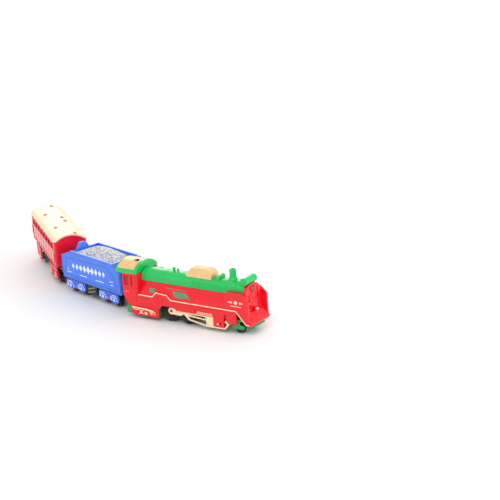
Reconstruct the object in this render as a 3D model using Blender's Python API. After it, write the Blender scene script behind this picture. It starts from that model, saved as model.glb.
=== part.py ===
"""Battery toy train: a steam-outline locomotive, a coal tender and a passenger coach, coupled by two drawbars.

Lengths below are in millimetres and are scaled to metres when a mesh is made. Each vehicle is built in its own
frame: +X to its front, Y across, and Z up from the rail head on which the wheel treads run. The flanges reach
FLANGE below the rail head, so the train stands on its flanges at Z = 0 of the assembly.
"""

import math

import bpy
from mathutils import Matrix, Vector

MM = 0.001

# Assembly
FLANGE = 1.0
SHIFT_X, SHIFT_Y = 110.39, 56.594
TENDER_AT, TENDER_YAW = (-129.66, 22.86), -15.28
COACH_AT, COACH_YAW = (-235.51, 77.17), -38.45
GAP = 0.3

# Locomotive
HALF_W = 17.35
SKIRT_Z = 14.0
BELT_Z = 37.2
BOX_TOP = 40.4
CAB_X0, CAB_X1, CAB_TOP = -75.0, -56.5, 45.0
BOILER_A, BOILER_B, BOILER_Z, BOILER_N = 9.7, 10.1, 38.5, 2.5
SMOKE_A, SMOKE_B, SMOKE_Z = 10.5, 8.7, 40.71
ROOF_R, ROOF_CZ = 24.87, 30.83
DRIVER_R, DRIVER_X, DRIVER_PITCH = 9.5, -23.0, 21.5
PIN_DX, PIN_DZ, PIN_R = 4.8, 2.7, 1.35
TRAIL_R, TRAIL_X = 4.0, -54.0
LEAD_R, LEAD_X = 4.5, 59.5
BATTERY_R, BATTERY_L, BATTERY_X, BATTERY_Z = 7.25, 50.5, 38.45, 22.1
MOTOR_X, MOTOR_Z = -45.4, 17.5
GEAR_MODULE = 0.8
N_PINION, N_BIG, N_SMALL, N_AXLE = 7, 20, 11, 22
LOCO_PIN_X = -60.0

# Tender and coach
TENDER_HALF_W, TENDER_PIN_X, TENDER_BOGIE_AT = 18.35, 44.0, (26.0, -31.0)
COACH_HALF_W, COACH_PIN_X, COACH_BOGIE_AT = 17.55, 55.0, (38.0, -40.0)
COACH_HALF_L, COACH_FLOOR_Z, COACH_EAVE_Z = 63.5, 21.8, 49.2
WHEEL_R, BOGIE_AXLE = 5.25, 9.5
BOGIE_YAWS = {"tender_front": 0.0, "tender_rear": 0.0, "coach_front": 3.0, "coach_rear": -3.0}

for old in list(bpy.data.objects):
    bpy.data.objects.remove(old, do_unlink=True)


def srgb(*c):
    return tuple((v / 255 / 12.92) if v / 255 <= 0.04045 else ((v / 255 + 0.055) / 1.055) ** 2.4 for v in c)


def material(name, colour, roughness, metallic=0.0):
    m = bpy.data.materials.new(name)
    m.use_nodes = True
    shader = m.node_tree.nodes["Principled BSDF"]
    shader.inputs["Base Color"].default_value = (*srgb(*colour), 1.0)
    shader.inputs["Roughness"].default_value = roughness
    shader.inputs["Metallic"].default_value = metallic
    m.diffuse_color = (*srgb(*colour), 1.0)
    return m


MAT = {
    "red_body": material("red_body", (232, 34, 50), 0.25),
    "green_top": material("green_top", (25, 165, 85), 0.28),
    "gold_trim": material("gold_trim", (228, 190, 120), 0.35),
    "green_chassis": material("green_chassis", (22, 140, 70), 0.4),
    "blue_body": material("blue_body", (40, 85, 220), 0.28),
    "coal": material("coal", (190, 190, 196), 0.55, 0.3),
    "coach_roof": material("coach_roof", (235, 214, 172), 0.3),
    "black_plastic": material("black_plastic", (24, 24, 27), 0.45),
    "tyre": material("tyre", (16, 16, 17), 0.85),
    "lens": material("lens", (150, 225, 170), 0.1),
    "white_plastic": material("white_plastic", (240, 240, 238), 0.35),
    "steel": material("steel", (180, 182, 186), 0.3, 1.0),
    "brass": material("brass", (200, 165, 90), 0.3, 1.0),
    "battery": material("battery", (60, 62, 70), 0.35, 0.5),
    "gear_white": material("gear_white", (232, 230, 222), 0.4),
}


def empty(name, at, yaw, parent=None):
    e = bpy.data.objects.new(name, None)
    bpy.context.scene.collection.objects.link(e)
    e.location = Vector(at) * MM
    e.rotation_euler = (0, 0, math.radians(yaw))
    e.parent = parent
    return e


TRAIN = empty("train", (SHIFT_X, -SHIFT_Y, FLANGE), 0)
LOCO = empty("locomotive", (0, 0, 0), 0, TRAIN)
TENDER = empty("tender", (*TENDER_AT, 0), TENDER_YAW, TRAIN)
COACH = empty("coach", (*COACH_AT, 0), COACH_YAW, TRAIN)


# ---- solids ---------------------------------------------------------------------------------------------------------


def solid(verts, faces):
    """A scratch object holding one closed mesh, in millimetres, with its faces turned outwards."""
    mesh = bpy.data.meshes.new("solid")
    mesh.from_pydata([tuple(v) for v in verts], [], faces)
    mesh.update()
    volume = 0.0
    for poly in mesh.polygons:
        p = [mesh.vertices[i].co for i in poly.vertices]
        for a, b in zip(p[1:-1], p[2:]):
            volume += p[0].dot(a.cross(b))
    if volume < 0:
        mesh.flip_normals()
    obj = bpy.data.objects.new("solid", mesh)
    bpy.context.scene.collection.objects.link(obj)
    return obj


def on_axis(axis, t, u, v):
    """(t along the axis, u and v across it, in X, Y, Z order)."""
    return {"x": (t, u, v), "y": (u, t, v), "z": (u, v, t)}[axis]


def prism(outline, axis, low, high):
    n = len(outline)
    verts = [on_axis(axis, t, u, v) for t in (low, high) for u, v in outline]
    faces = [list(range(n)), list(range(2 * n - 1, n - 1, -1))]
    faces += [[i, (i + 1) % n, n + (i + 1) % n, n + i][::-1] for i in range(n)]
    return solid(verts, faces)


def box(x0, x1, y0, y1, z0, z1):
    return prism([(x0, y0), (x1, y0), (x1, y1), (x0, y1)], "z", z0, z1)


def circle(r, n, cu=0.0, cv=0.0, phase=0.5):
    return [(cu + r * math.cos(2 * math.pi * (i + phase) / n), cv + r * math.sin(2 * math.pi * (i + phase) / n)) for i in range(n)]


def rod(axis, low, high, r, n=12, cu=0.0, cv=0.0):
    return prism(circle(r, n, cu, cv), axis, low, high)


def turned(profile, axis, n, cu=0.0, cv=0.0, phase=0.5):
    """A turned solid: the profile is (distance along the axis, radius), from end to end."""
    verts, faces = [], []
    for t, r in profile:
        verts += [on_axis(axis, t, u, v) for u, v in circle(r, n, cu, cv, phase)]
    for k in range(len(profile) - 1):
        for i in range(n):
            j = (i + 1) % n
            faces.append([k * n + i, k * n + j, (k + 1) * n + j, (k + 1) * n + i])
    faces.append(list(range(n))[::-1])
    last = (len(profile) - 1) * n
    faces.append(list(range(last, last + n)))
    return solid(verts, faces)


def combine(target, tool, operation):
    cut = target.modifiers.new("shape", "BOOLEAN")
    cut.operation = operation
    cut.solver = "EXACT"
    cut.object = tool
    graph = bpy.context.evaluated_depsgraph_get()
    result = bpy.data.meshes.new_from_object(target.evaluated_get(graph))
    target.modifiers.clear()
    target.data = result
    bpy.data.objects.remove(tool, do_unlink=True)
    return target


def union(*objs):
    first = objs[0]
    for other in objs[1:]:
        combine(first, other, "UNION")
    return first


def minus(target, *tools):
    for tool in tools:
        combine(target, tool, "DIFFERENCE")
    return target


def rounded_plan(x0, x1, half_w, r, steps=3):
    """(x, y) of a rectangle from x0 to x1 with rounded corners."""
    points = []
    for cx, cy, start in ((x1 - r, half_w - r, 0), (x0 + r, half_w - r, 90), (x0 + r, r - half_w, 180), (x1 - r, r - half_w, 270)):
        for i in range(steps + 1):
            t = math.radians(start + 90 * i / steps)
            points.append((cx + r * math.cos(t), cy + r * math.sin(t)))
    return points


def ys(s, near, far):
    """(low, high) of a slab between |y| = near and far on side s."""
    return (near, far) if s > 0 else (-far, -near)


def node(obj, name, mat, parent, origin=(0.0, 0.0, 0.0)):
    """Names the solid, gives it its material, and puts its origin at the given point of its vehicle's frame."""
    offset = Vector(origin)
    obj.data.transform(Matrix.Translation(-offset))
    obj.data.transform(Matrix.Scale(MM, 4))
    obj.data.name = name
    obj.name = name
    obj.location = offset * MM
    obj.parent = parent
    obj.data.materials.clear()
    obj.data.materials.append(MAT[mat])
    obj.data.shade_smooth()
    obj.data.set_sharp_from_angle(angle=math.radians(35))
    return obj


def arch(a, b, bottom, steps=10, cz=BOILER_Z, n=BOILER_N):
    """(y, z) of a rounded arch with upright sides: half width a, rise b above cz, cut off at bottom."""
    points = [(a, bottom)]
    for i in range(steps + 1):
        t = math.pi * i / steps
        c, s = math.cos(t), math.sin(t)
        points.append((math.copysign(abs(c) ** (2 / n), c) * a, cz + abs(s) ** (2 / n) * b))
    points.append((-a, bottom))
    return points


def roof_arc(r, cz, half, steps):
    """(y, z) along a roof's arc, from +half to -half."""
    top = math.asin(half / r)
    return [(r * math.sin(top * (1 - 2 * i / steps)), cz + r * math.cos(top * (1 - 2 * i / steps))) for i in range(steps + 1)]


# ---- shared pieces --------------------------------------------------------------------------------------------------


def wheelset_profile(r, axle_end, axle_r=0.9, groove=False):
    """One turned axle with a flanged wheel at each end; with groove, the treads carry a tyre."""
    half = [(axle_end, axle_r), (12.0, axle_r), (12.0, r)]
    if groove:
        half += [(11.6, r), (11.6, r - 1.1), (9.6, r - 1.1), (9.6, r)]
    half += [(9.0, r), (9.0, r + FLANGE), (8.0, r + FLANGE), (8.0, axle_r)]
    return [(-t, q) for t, q in half] + [(t, q) for t, q in half[::-1]]


def wheel_turned(profile, segments, x, r):
    """Turned with the flats of its facets, not their corners, on the stated radii, so a flat rests on the floor."""
    return turned([(t, q / math.cos(math.pi / segments)) for t, q in profile], "y", segments, x, r, phase=0.5 if segments % 4 == 0 else 0.0)


def wheelset(name, parent, x, r, axle_end, segments=16):
    return node(wheel_turned(wheelset_profile(r, axle_end), segments, x, r), name, "black_plastic", parent, (x, 0, r))


def bogie_frame(name, parent, mat, top):
    """A four-wheel bogie: two side frames joined by a bolster with the hole for its kingpin."""
    outline = [(-16.4, 7.6), (-14.8, 4.6), (-6, 4.2), (-4, 5.6), (4, 5.6), (6, 4.2), (14.8, 4.6), (16.4, 7.6), (16.4, top - 1.6), (15.4, top), (-15.4, top), (-16.4, top - 1.6)]
    side = [prism(outline, "y", *ys(s, 15.0, 16.9)) for s in (-1, 1)]
    body = union(box(-2.9, 2.9, -15.4, 15.4, 8.2, 10.2), rod("z", 7.9, 10.6, 3.6, 16), *side)
    minus(body, rod("z", 6, 12, 2.25, 12))
    return node(body, name, mat, parent)


def bogie(prefix, at_x, vehicle, mat, top):
    pivot = empty(prefix + "_bogie", (at_x, 0, 0), BOGIE_YAWS[prefix], vehicle)
    bogie_frame(prefix + "_bogie_frame", pivot, mat, top)
    wheelset(prefix + "_wheelset_1", pivot, BOGIE_AXLE, WHEEL_R, 14.7)
    wheelset(prefix + "_wheelset_2", pivot, -BOGIE_AXLE, WHEEL_R, 14.7)


def drawbar(name, a, b, z0, z1):
    """A flat link with an eye at each end, from point a to point b of the locomotive's frame."""
    dx, dy = b[0] - a[0], b[1] - a[1]
    length, yaw = math.hypot(dx, dy), math.degrees(math.atan2(dy, dx))
    body = union(rod("z", z0, z1, 3.4, 16), rod("z", z0, z1, 3.4, 16, length, 0), box(0, length, -1.8, 1.8, z0 + 0.15, z1 - 0.15))
    minus(body, rod("z", z0 - 1, z1 + 1, 2.15, 12), rod("z", z0 - 1, z1 + 1, 2.15, 12, length, 0))
    pivot = empty(name + "_pivot", (*a, 0), yaw, LOCO)
    return node(body, name, "black_plastic", pivot)


def gear(teeth, y0, y1, cx, cz, tooth_at):
    """A spur gear about an axis along Y, with one tooth pointing at the angle tooth_at."""
    pitch = GEAR_MODULE * teeth / 2
    root, tip = pitch - 1.25 * GEAR_MODULE, pitch + 0.7 * GEAR_MODULE
    step = 2 * math.pi / teeth
    outline = []
    for k in range(teeth):
        mid = tooth_at + k * step
        for r, share in ((root, -0.30), (tip, -0.11), (tip, 0.11), (root, 0.30)):
            angle = mid + share * step
            outline.append((cx + r * math.cos(angle), cz + r * math.sin(angle)))
    return prism(outline, "y", y0, y1)


def screw(name, parent, x, y, head_z, shank_top, head_r=1.9):
    body = turned([(head_z, head_r * 0.8), (head_z + 0.25, head_r), (head_z + 0.8, head_r), (head_z + 0.8, 0.85), (shank_top, 0.85)], "z", 12, x, y)
    minus(body, box(x - 1.1, x + 1.1, y - 0.22, y + 0.22, head_z - 1, head_z + 0.35))
    return node(body, name, "steel", parent, (x, y, 0))


# ---- locomotive: body shell -----------------------------------------------------------------------------------------

SIDE = [(HALF_W, 24.6), (14.7, 28.4), (11.7, 32.7), (9.7, BELT_Z)]
sides = [(HALF_W, SKIRT_Z - 1.5)] + SIDE + [(-y, z) for y, z in SIDE[::-1]] + [(-HALF_W, SKIRT_Z - 1.5)]
INNER = [(16.1, -6), (16.1, 24.0), (13.2, 27.9), (10.3, 32.1), (8.3, 35.7)]
inside = INNER + [(-y, z) for y, z in INNER[::-1]]

shell = prism(sides, "x", -58, 49)
union(
    shell,
    prism([(CAB_X0 - 0.2, 24.1), (-72.6, 16.5), (-72.6, 12.5), (CAB_X1, 12.5), (CAB_X1, CAB_TOP), (CAB_X0, CAB_TOP)], "y", -HALF_W + 0.001, HALF_W - 0.001),
    prism([(47.5, 23.0), (68.6, 23.0), (68.6, 39.0), (67.2, BOX_TOP), (47.5, BOX_TOP)], "y", -HALF_W, HALF_W),
)
minus(
    shell,
    prism([(-73.0, 8), (-73.0, 16.4), (-71.0, 16.4), (-71.0, 8)], "y", -30, 30),
    prism(inside, "x", -56.3, 60),
    box(49.5, 66.4, -15.7, 15.7, -6, 38.9),
    box(-73.5, -58, -15.85, 15.85, -6, 60),
    prism([(-72, 8), (-72, 12.0), (-66.6, 12.0), (-66.6, 8)], "y", -30, 30),
    prism([(-31.5, 5), (-31.0, 13.4), (-28.0, 16.7), (-14.0, 16.7), (-11.0, SKIRT_Z), (48, SKIRT_Z), (48, 5)], "y", -30, 30),
)
PANEL = [(60.4, 23.4), (62, 26), (66, BOX_TOP), (67.2, BOX_TOP), (74.3, 34.0), (74.6, 12.6), (76.2, 11.3), (75.4, 10.4), (71.3, 10.4)]
side_pieces = []
for s in (-1, 1):
    side_pieces += [
        prism(PANEL, "y", *ys(s, 15.6, HALF_W)),
        union(box(48.6, 60.2, *ys(s, 15.9, HALF_W), 12.3, 24.5), box(50.2, 60.2, *ys(s, 15.9, HALF_W), 9.9, 12.6)),
        box(33.2, 45.2, *ys(s, 13.0, HALF_W), 4.5, 15.5),
        rod("z", 14.4, 39.5, 2.6, 12, 64.6, s * 13.4),
        prism([(-38.9, 24.3), (-34.3, 29.9), (-21.1, 28.8), (-17.2, 24.3)], "y", *ys(s, 13.9, HALF_W)),
    ]
side_pieces += [rod("z", 11.2, 44.0, 2.6, 12, -62.0, s * 13.4) for s in (-1, 1)]
side_pieces.append(box(66.6, 68.8, -16.0, 16.0, 20.8, 23.4))
pilot = prism([(67.5, 21.5), (69.4, 20.6), (75.4, 13.0), (76.2, 11.3), (75.6, 9.2), (73.6, 8.6), (70.0, 10.2), (67.5, 13.5)], "y", -16.4, 16.4)
smokebox_front = prism(arch(12.6, 9.4, 30.0, n=2.3), "x", 66.2, 69.2)
union(shell, *side_pieces, pilot, smokebox_front, rod("x", 67.5, 72.5, 2.1, 12, 0, 22.8))
minus(
    shell,
    prism(arch(9.3, 7.6, 30.5, n=2.3), "x", 68.5, 75),
    rod("x", 66.8, 80, 2.4, 14, 0, 43.1),
    rod("y", -20, -15.6, 1.2, 12, 40.9, 8.0),
    rod("y", 15.6, 20, 1.2, 12, 40.9, 8.0),
    rod("x", 68.0, 80, 1.2, 10, 0, 22.8),
    rod("z", 8, 30, 1.1, 10, 64.6, 13.4),
    rod("z", 8, 24, 1.1, 10, -62.0, -13.4),
)
node(shell, "loco_shell", "red_body", LOCO)

# ---- locomotive: boiler top and fittings ----------------------------------------------------------------------------

top = prism(arch(BOILER_A, BOILER_B, BELT_Z + GAP), "x", -56.2, 47.2)
union(top, prism(arch(SMOKE_A, SMOKE_B, BOX_TOP + GAP, cz=SMOKE_Z), "x", 46.0, 65.9))
minus(
    top,
    prism(arch(BOILER_A - 1.3, BOILER_B - 1.3, BELT_Z - 2), "x", -54.8, 45.5),
    prism(arch(SMOKE_A - 1.3, SMOKE_B - 1.3, BOX_TOP - 2, cz=SMOKE_Z), "x", 45.0, 64.5),
)
union(
    top,
    turned([(-9.6, 3.2), (-9.0, 3.9), (9.0, 3.9), (9.6, 3.2)], "y", 16, 65.4, 50.8),
    turned([(-5.6, 2.0), (-5.2, 2.5), (5.2, 2.5), (5.6, 2.0)], "y", 12, 32.6, 49.4),
    turned([(47.6, 1.5), (51.4, 1.5), (52.3, 0.9)], "z", 12, -22.6, 0),
    turned([(47.6, 1.2), (50.8, 1.2), (51.4, 0.7)], "z", 12, -17.8, 0),
)
minus(top, prism(arch(12.9, 9.7, 30.0, n=2.3), "x", 66.05, 75))
node(top, "boiler_top", "green_top", LOCO)

chimney = turned([(46.2, 5.1), (48.6, 5.0), (49.9, 4.3), (51.2, 3.6), (52.4, 3.3), (57.6, 3.3), (58.1, 3.6), (59.3, 3.6)], "z", 16, 47.6, 0)
minus(chimney, rod("z", 54.0, 70, 2.4, 14, 47.6, 0), prism(arch(SMOKE_A + GAP, SMOKE_B + GAP, 30, cz=SMOKE_Z), "x", 30, 60))
node(chimney, "chimney", "green_top", LOCO)

casing = prism([(-3.6, 44.5), (-3.6, 49.4), (2.6, 56.5), (22.4, 56.5), (25.8, 52.4), (26.0, 44.5)], "y", -12, 12)
for s in (-1, 1):
    minus(casing, prism([(s * 6.7, 40), (s * 6.7, 49.8), (s * 4.8, 56.0), (s * 4.4, 56.6), (s * 4.4, 60), (s * 14, 60), (s * 14, 40)], "x", -10, 35))
minus(casing, prism(arch(BOILER_A + GAP, BOILER_B + GAP, 30), "x", -10, 35), box(-10, 35, -12, 12, 40, 47.2))
node(casing, "dome_casing", "gold_trim", LOCO)

roof = prism([(18.0, 45.3), (18.0, 48.2), *roof_arc(ROOF_R, ROOF_CZ, 17.4, 12), (-18.0, 48.2), (-18.0, 45.3)], "x", -82.4, -57.0)
minus(
    roof,
    prism([(16.4, 40.0), *roof_arc(ROOF_R - 2.7, ROOF_CZ, 16.4, 12), (-16.4, 40.0)], "x", -90, -50),
    prism([*roof_arc(ROOF_R - 1.3, ROOF_CZ, 16.6, 12), (-16.8, 62), (16.8, 62)], "x", -81.6, -60.2),
)
union(roof, prism([(16.8, 45.5), *roof_arc(ROOF_R - 2.3, ROOF_CZ, 16.8, 12), (-16.8, 45.5)], "x", -59.2, -57.3))
node(roof, "cab_roof_frame", "green_top", LOCO)

panel = prism(roof_arc(ROOF_R - 0.1, ROOF_CZ, 16.25, 12) + roof_arc(ROOF_R - 1.0, ROOF_CZ, 16.1, 12)[::-1], "x", -81.3, -60.5)
minus(panel, box(-68.0, -62.2, -5.8, -2.2, 50, 60))
node(panel, "cab_roof_panel", "gold_trim", LOCO)

slider = union(box(-65.2, -62.5, -5.5, -2.5, 54.6, 55.7), prism([(-65.0, 55.4), (-62.7, 55.4), (-63.1, 56.6), (-64.6, 56.6)], "y", -5.1, -2.9))
node(slider, "power_switch_slider", "black_plastic", LOCO, (-63.85, -4.0, 55.1))

node(turned([(67.1, 2.05), (69.4, 2.05), (69.9, 1.4)], "x", 14, 0, 43.1), "headlight_lens", "lens", LOCO)
node(turned([(68.4, 0.85), (72.9, 0.85), (72.9, 1.15), (73.7, 1.15), (74.1, 0.7)], "x", 12, 0, 22.8), "front_hook_pin", "white_plastic", LOCO)

# ---- locomotive: chassis, battery and motor -------------------------------------------------------------------------

chassis = box(-66.0, -34.5, -15.6, 15.6, 9.4, 10.6)
union(
    chassis,
    box(-36.0, -34.4, -15.6, 15.6, 4.0, 13.0),
    box(-35.0, 10.4, -7.3, 3.4, 11.2, 13.0),
    prism([(-40.0, 11.0), (-34, 10.0), (-22, 11.0), (-22, 16.5), (-40.0, 16.5)], "y", 2.3, 3.4),
    box(9.4, 66.9, -12.0, 12.0, 12.6, 14.0),
    box(9.4, 11.2, -7.3, 3.4, 11.2, 14.0),
    box(60.0, 66.9, -15.3, 15.3, 12.8, 14.0),
    box(66.25, 67.35, -7.6, 7.6, 4.8, 13.0),
    prism([(66.25, 4.8), (72.5, 4.8), (75.0, 6.2), (75.0, 8.0), (66.25, 8.0)], "y", -9.5, 9.5),
    rod("z", 5.7, 10.0, 1.8, 12, LOCO_PIN_X, 0),
    rod("z", 10.8, 13.0, 1.8, 12, LEAD_X, 0),
    box(12.2, 63.8, 7.7, 8.8, 13.8, 20.0),
    box(12.2, 63.8, -8.8, -7.7, 13.8, 20.0),
    box(-70.8, -65.5, -9.0, 9.0, 9.4, 12.3),
    box(-71.7, -66.8, -16.9, 16.9, 9.5, 11.7),
    box(-71.7, -66.8, 12.6, 16.9, 3.9, 11.7),
    box(-71.7, -66.8, -16.9, -12.6, 3.9, 11.7),
)
minus(
    chassis,
    box(-46.0, -33.0, 3.45, 8.3, 0, 30),
    box(14.0, 57.0, -7.0, 7.0, 8, 16),
    rod("z", 5, 20, 1.1, 10, LEAD_X, 0),
    rod("z", 5, 20, 1.1, 10, 64.6, 13.4),
    rod("z", 5, 20, 1.1, 10, -62.0, -13.4),
    rod("z", 5, 20, 3.0, 12, -62.0, 13.4),
)
node(chassis, "loco_chassis", "green_chassis", LOCO)

cover = union(box(14.3, 56.7, -6.7, 6.7, 12.5, 13.9), box(24, 47, -1.2, 1.2, 12.0, 12.7))
minus(cover, rod("z", 8, 20, 1.2, 10, 18.0, 0))
node(cover, "battery_cover", "green_chassis", LOCO)
screw("battery_cover_screw", LOCO, 18.0, 0, 11.3, 14.3)
screw("shell_screw_front", LOCO, 64.6, 13.4, 11.7 - 0.2, 22.0, 1.6)
screw("shell_screw_rear", LOCO, -62.0, -13.4, 8.3, 19.0, 1.6)
screw("leading_truck_screw", LOCO, LEAD_X, 0, 9.6, 14.3, 2.6)

half = BATTERY_L / 2
node(
    turned([(BATTERY_X - half + 0.6, BATTERY_R - 0.6), (BATTERY_X - half + 0.9, BATTERY_R), (BATTERY_X + half - 1.4, BATTERY_R), (BATTERY_X + half - 1.2, 2.75), (BATTERY_X + half, 2.75)], "x", 20, 0, BATTERY_Z),
    "aa_battery",
    "battery",
    LOCO,
)
node(union(box(BATTERY_X + half + 0.35, BATTERY_X + half + 1.0, -5, 5, 17.0, 28.0), rod("x", BATTERY_X + half + 0.3, BATTERY_X + half + 0.6, 1.6, 10, 0, BATTERY_Z)), "battery_contact_front", "brass", LOCO)
node(
    union(box(11.5, 12.1, -5, 5, 17.0, 28.0), turned([(11.9, 3.4), (12.6, 3.0), (13.3, 2.0)], "x", 12, 0, BATTERY_Z)),
    "battery_contact_spring",
    "steel",
    LOCO,
)

can = [(MOTOR_X + x, MOTOR_Z + z) for x, z in [(-7.6, -6.5), (7.6, -6.5), (9.2, -3.9), (10.0, 0), (9.2, 3.9), (7.6, 6.5), (-7.6, 6.5), (-9.2, 3.9), (-10.0, 0), (-9.2, -3.9)]]
node(union(prism(can, "y", -15.2, 1.6), rod("y", -15.5, 1.95, 3.0, 12, MOTOR_X, MOTOR_Z)), "drive_motor", "steel", LOCO)

axle_at = (DRIVER_X, DRIVER_R)
motor_at = (MOTOR_X, MOTOR_Z)
first = GEAR_MODULE * (N_PINION + N_BIG) / 2
second = GEAR_MODULE * (N_SMALL + N_AXLE) / 2
span = math.dist(axle_at, motor_at)
swing = math.acos((first**2 + span**2 - second**2) / (2 * first * span))
line = math.atan2(axle_at[1] - motor_at[1], axle_at[0] - motor_at[0])
to_idler = line + swing
idler_at = (motor_at[0] + first * math.cos(to_idler), motor_at[1] + first * math.sin(to_idler))
to_axle = math.atan2(axle_at[1] - idler_at[1], axle_at[0] - idler_at[0])

pinion = union(gear(N_PINION, 4.0, 5.4, *motor_at, to_idler), rod("y", 2.3, 6.2, 0.75, 10, *motor_at))
node(pinion, "motor_pinion", "brass", LOCO, (motor_at[0], 0, motor_at[1]))
idler = union(
    gear(N_BIG, 4.0, 5.4, *idler_at, to_idler + math.pi + math.pi / N_BIG),
    rod("y", 5.2, 6.0, 2.6, 14, *idler_at),
    gear(N_SMALL, 5.7, 7.3, *idler_at, to_axle),
    rod("y", 3.72, 7.7, 0.9, 10, *idler_at),
)
node(idler, "idler_gear", "gear_white", LOCO, (idler_at[0], 0, idler_at[1]))

# ---- locomotive: running gear ---------------------------------------------------------------------------------------

PIN_SIGN = {-1: 1, 1: -1}


def driver(name, x, pulled, mat="black_plastic"):
    body = wheel_turned(wheelset_profile(DRIVER_R, 12.6, 1.0, pulled), 20, x, DRIVER_R)
    for s in (-1, 1):
        k = PIN_SIGN[s]
        cx, cz = x + k * PIN_DX, DRIVER_R + k * PIN_DZ
        union(body, rod("y", *ys(s, 11.5, 14.2), 2.3, 10, cx, cz), rod("y", *ys(s, 12.0, 16.0), PIN_R, 10, cx, cz))
    return node(body, name, mat, LOCO, (x, 0, DRIVER_R))


driver("driver_wheelset_rear", DRIVER_X, True)
driver("driver_wheelset_front", DRIVER_X + DRIVER_PITCH, False)
axle_gear = gear(N_AXLE, 5.7, 7.3, *axle_at, to_axle + math.pi + math.pi / N_AXLE)
minus(axle_gear, rod("y", 0, 10, 1.35, 14, *axle_at))
node(axle_gear, "axle_gear", "gear_white", LOCO, (*axle_at[:1], 0, axle_at[1]))
for s, side in ((-1, "left"), (1, "right")):
    tyre = wheel_turned([(t, DRIVER_R) for t in ys(s, 9.9, 11.3)], 20, *axle_at)
    minus(tyre, rod("y", -20, 20, DRIVER_R - 0.65, 20, *axle_at))
    node(tyre, "traction_tyre_" + side, "tyre", LOCO, (axle_at[0], 0, axle_at[1]))

ROD = [(-18.2, 15.6), (-11.4, 15.0), (-3.0, 13.7), (3.3, 14.0), (3.3, 10.4), (-3.0, 11.2), (-4.6, 9.9), (-8.0, 8.5), (-13.5, 9.0), (-18.2, 8.8)]
for s, side in ((-1, "left"), (1, "right")):
    k = PIN_SIGN[s]
    rear = (DRIVER_X + k * PIN_DX, DRIVER_R + k * PIN_DZ)
    dx, dz = rear[0] + 18.2, rear[1] - 12.2
    rod_body = union(
        rod("y", *ys(s, 14.6, 15.8), 3.45, 18, *rear),
        prism([(x + dx, z + dz) for x, z in ROD], "y", *ys(s, 14.65, 15.75)),
        rod("y", *ys(s, 14.6, 15.8), 2.5, 14, rear[0] + DRIVER_PITCH, rear[1]),
    )
    minus(rod_body, rod("y", -20, 20, PIN_R + 0.35, 12, *rear), rod("y", -20, 20, PIN_R + 0.35, 12, rear[0] + DRIVER_PITCH, rear[1]))
    node(rod_body, "coupling_rod_" + side, "gold_trim", LOCO, (rear[0], 0, rear[1]))

GUIDE = [(-1.8, 13.7), (32.7, 13.7), (32.7, 4.2), (45.6, 4.2), (49.2, 8.4), (46.3, 10.8), (47.1, 11.9), (51.0, 8.4), (46.4, 2.9), (24.0, 2.9), (3.4, 6.6), (-1.8, 11.8)]
SLOTS = ([(2.0, 12.75), (24.4, 12.5), (24.4, 10.1), (6.3, 11.6)], [(2.4, 10.5), (24.4, 9.0), (24.4, 4.1), (5.0, 7.5)])
for s, side in ((-1, "left"), (1, "right")):
    guide = prism(GUIDE, "y", *ys(s, 16.15, HALF_W + 0.15))
    minus(guide, *[prism(slot, "y", -20, 20) for slot in SLOTS])
    node(guide, "slide_guide_" + side, "gold_trim", LOCO)

trailing = union(
    box(-48.0, -46.2, -16.5, 16.5, 5.6, 9.1),
    *[prism([(-66.3, 5.0), (-63.5, 2.7), (-34.5, 2.7), (-32.3, 4.5), (-32.3, 12.2), (-66.3, 12.2)], "y", *ys(s, 16.05, HALF_W)) for s in (-1, 1)],
)
node(trailing, "trailing_frame", "red_body", LOCO)
wheelset("trailing_wheelset", LOCO, TRAIL_X, TRAIL_R, 15.7)

truck = box(57.2, 61.8, -13.7, 13.7, 10.95, 12.2)
union(truck, *[prism([(52.8, 5.2), (54.0, 4.1), (65.2, 4.1), (66.0, 5.2), (66.0, 7.6), (61.0, 8.4), (60.9, 12.0), (58.1, 12.0), (58.0, 8.4), (52.8, 7.6)], "y", *ys(s, 12.5, 13.8)) for s in (-1, 1)])
minus(truck, rod("z", 5, 20, 2.15, 12, LEAD_X, 0))
node(truck, "leading_truck_frame", "green_chassis", LOCO, (LEAD_X, 0, 0))
wheelset("leading_wheelset", LOCO, LEAD_X, LEAD_R, 12.2)

# ---- tender ---------------------------------------------------------------------------------------------------------

TENDER_SIDE = [(-50.0, 16.2), (-51.5, 39.5), (-33.0, 47.0), (38.6, 47.0), (51.0, 38.5), (50.5, 16.2)]
tender = prism(TENDER_SIDE, "y", -TENDER_HALF_W - 1, TENDER_HALF_W + 1)
combine(tender, prism(rounded_plan(-51.5, 51.0, TENDER_HALF_W, 2.4), "z", 5, 60), "INTERSECT")
union(tender, prism([(-6.6, 43.6), (6.6, 43.6), (6.4, 46.6), (2.9, 52.0), (-2.9, 52.0), (-6.4, 46.6)], "x", -38.8, -33.6))
minus(tender, box(-32.5, 37.0, -16.7, 16.7, 38.7, 60), prism([(-48.5, 10), (-49.8, 37.2), (49.2, 37.2), (49.0, 10)], "y", -16.8, 16.8))
union(tender, rod("z", 16.4, 37.8, 2.8, 12, 16.0, 0))
minus(tender, rod("z", 10, 30, 1.1, 10, 16.0, 0))
node(tender, "tender_body", "blue_body", TENDER)

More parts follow.
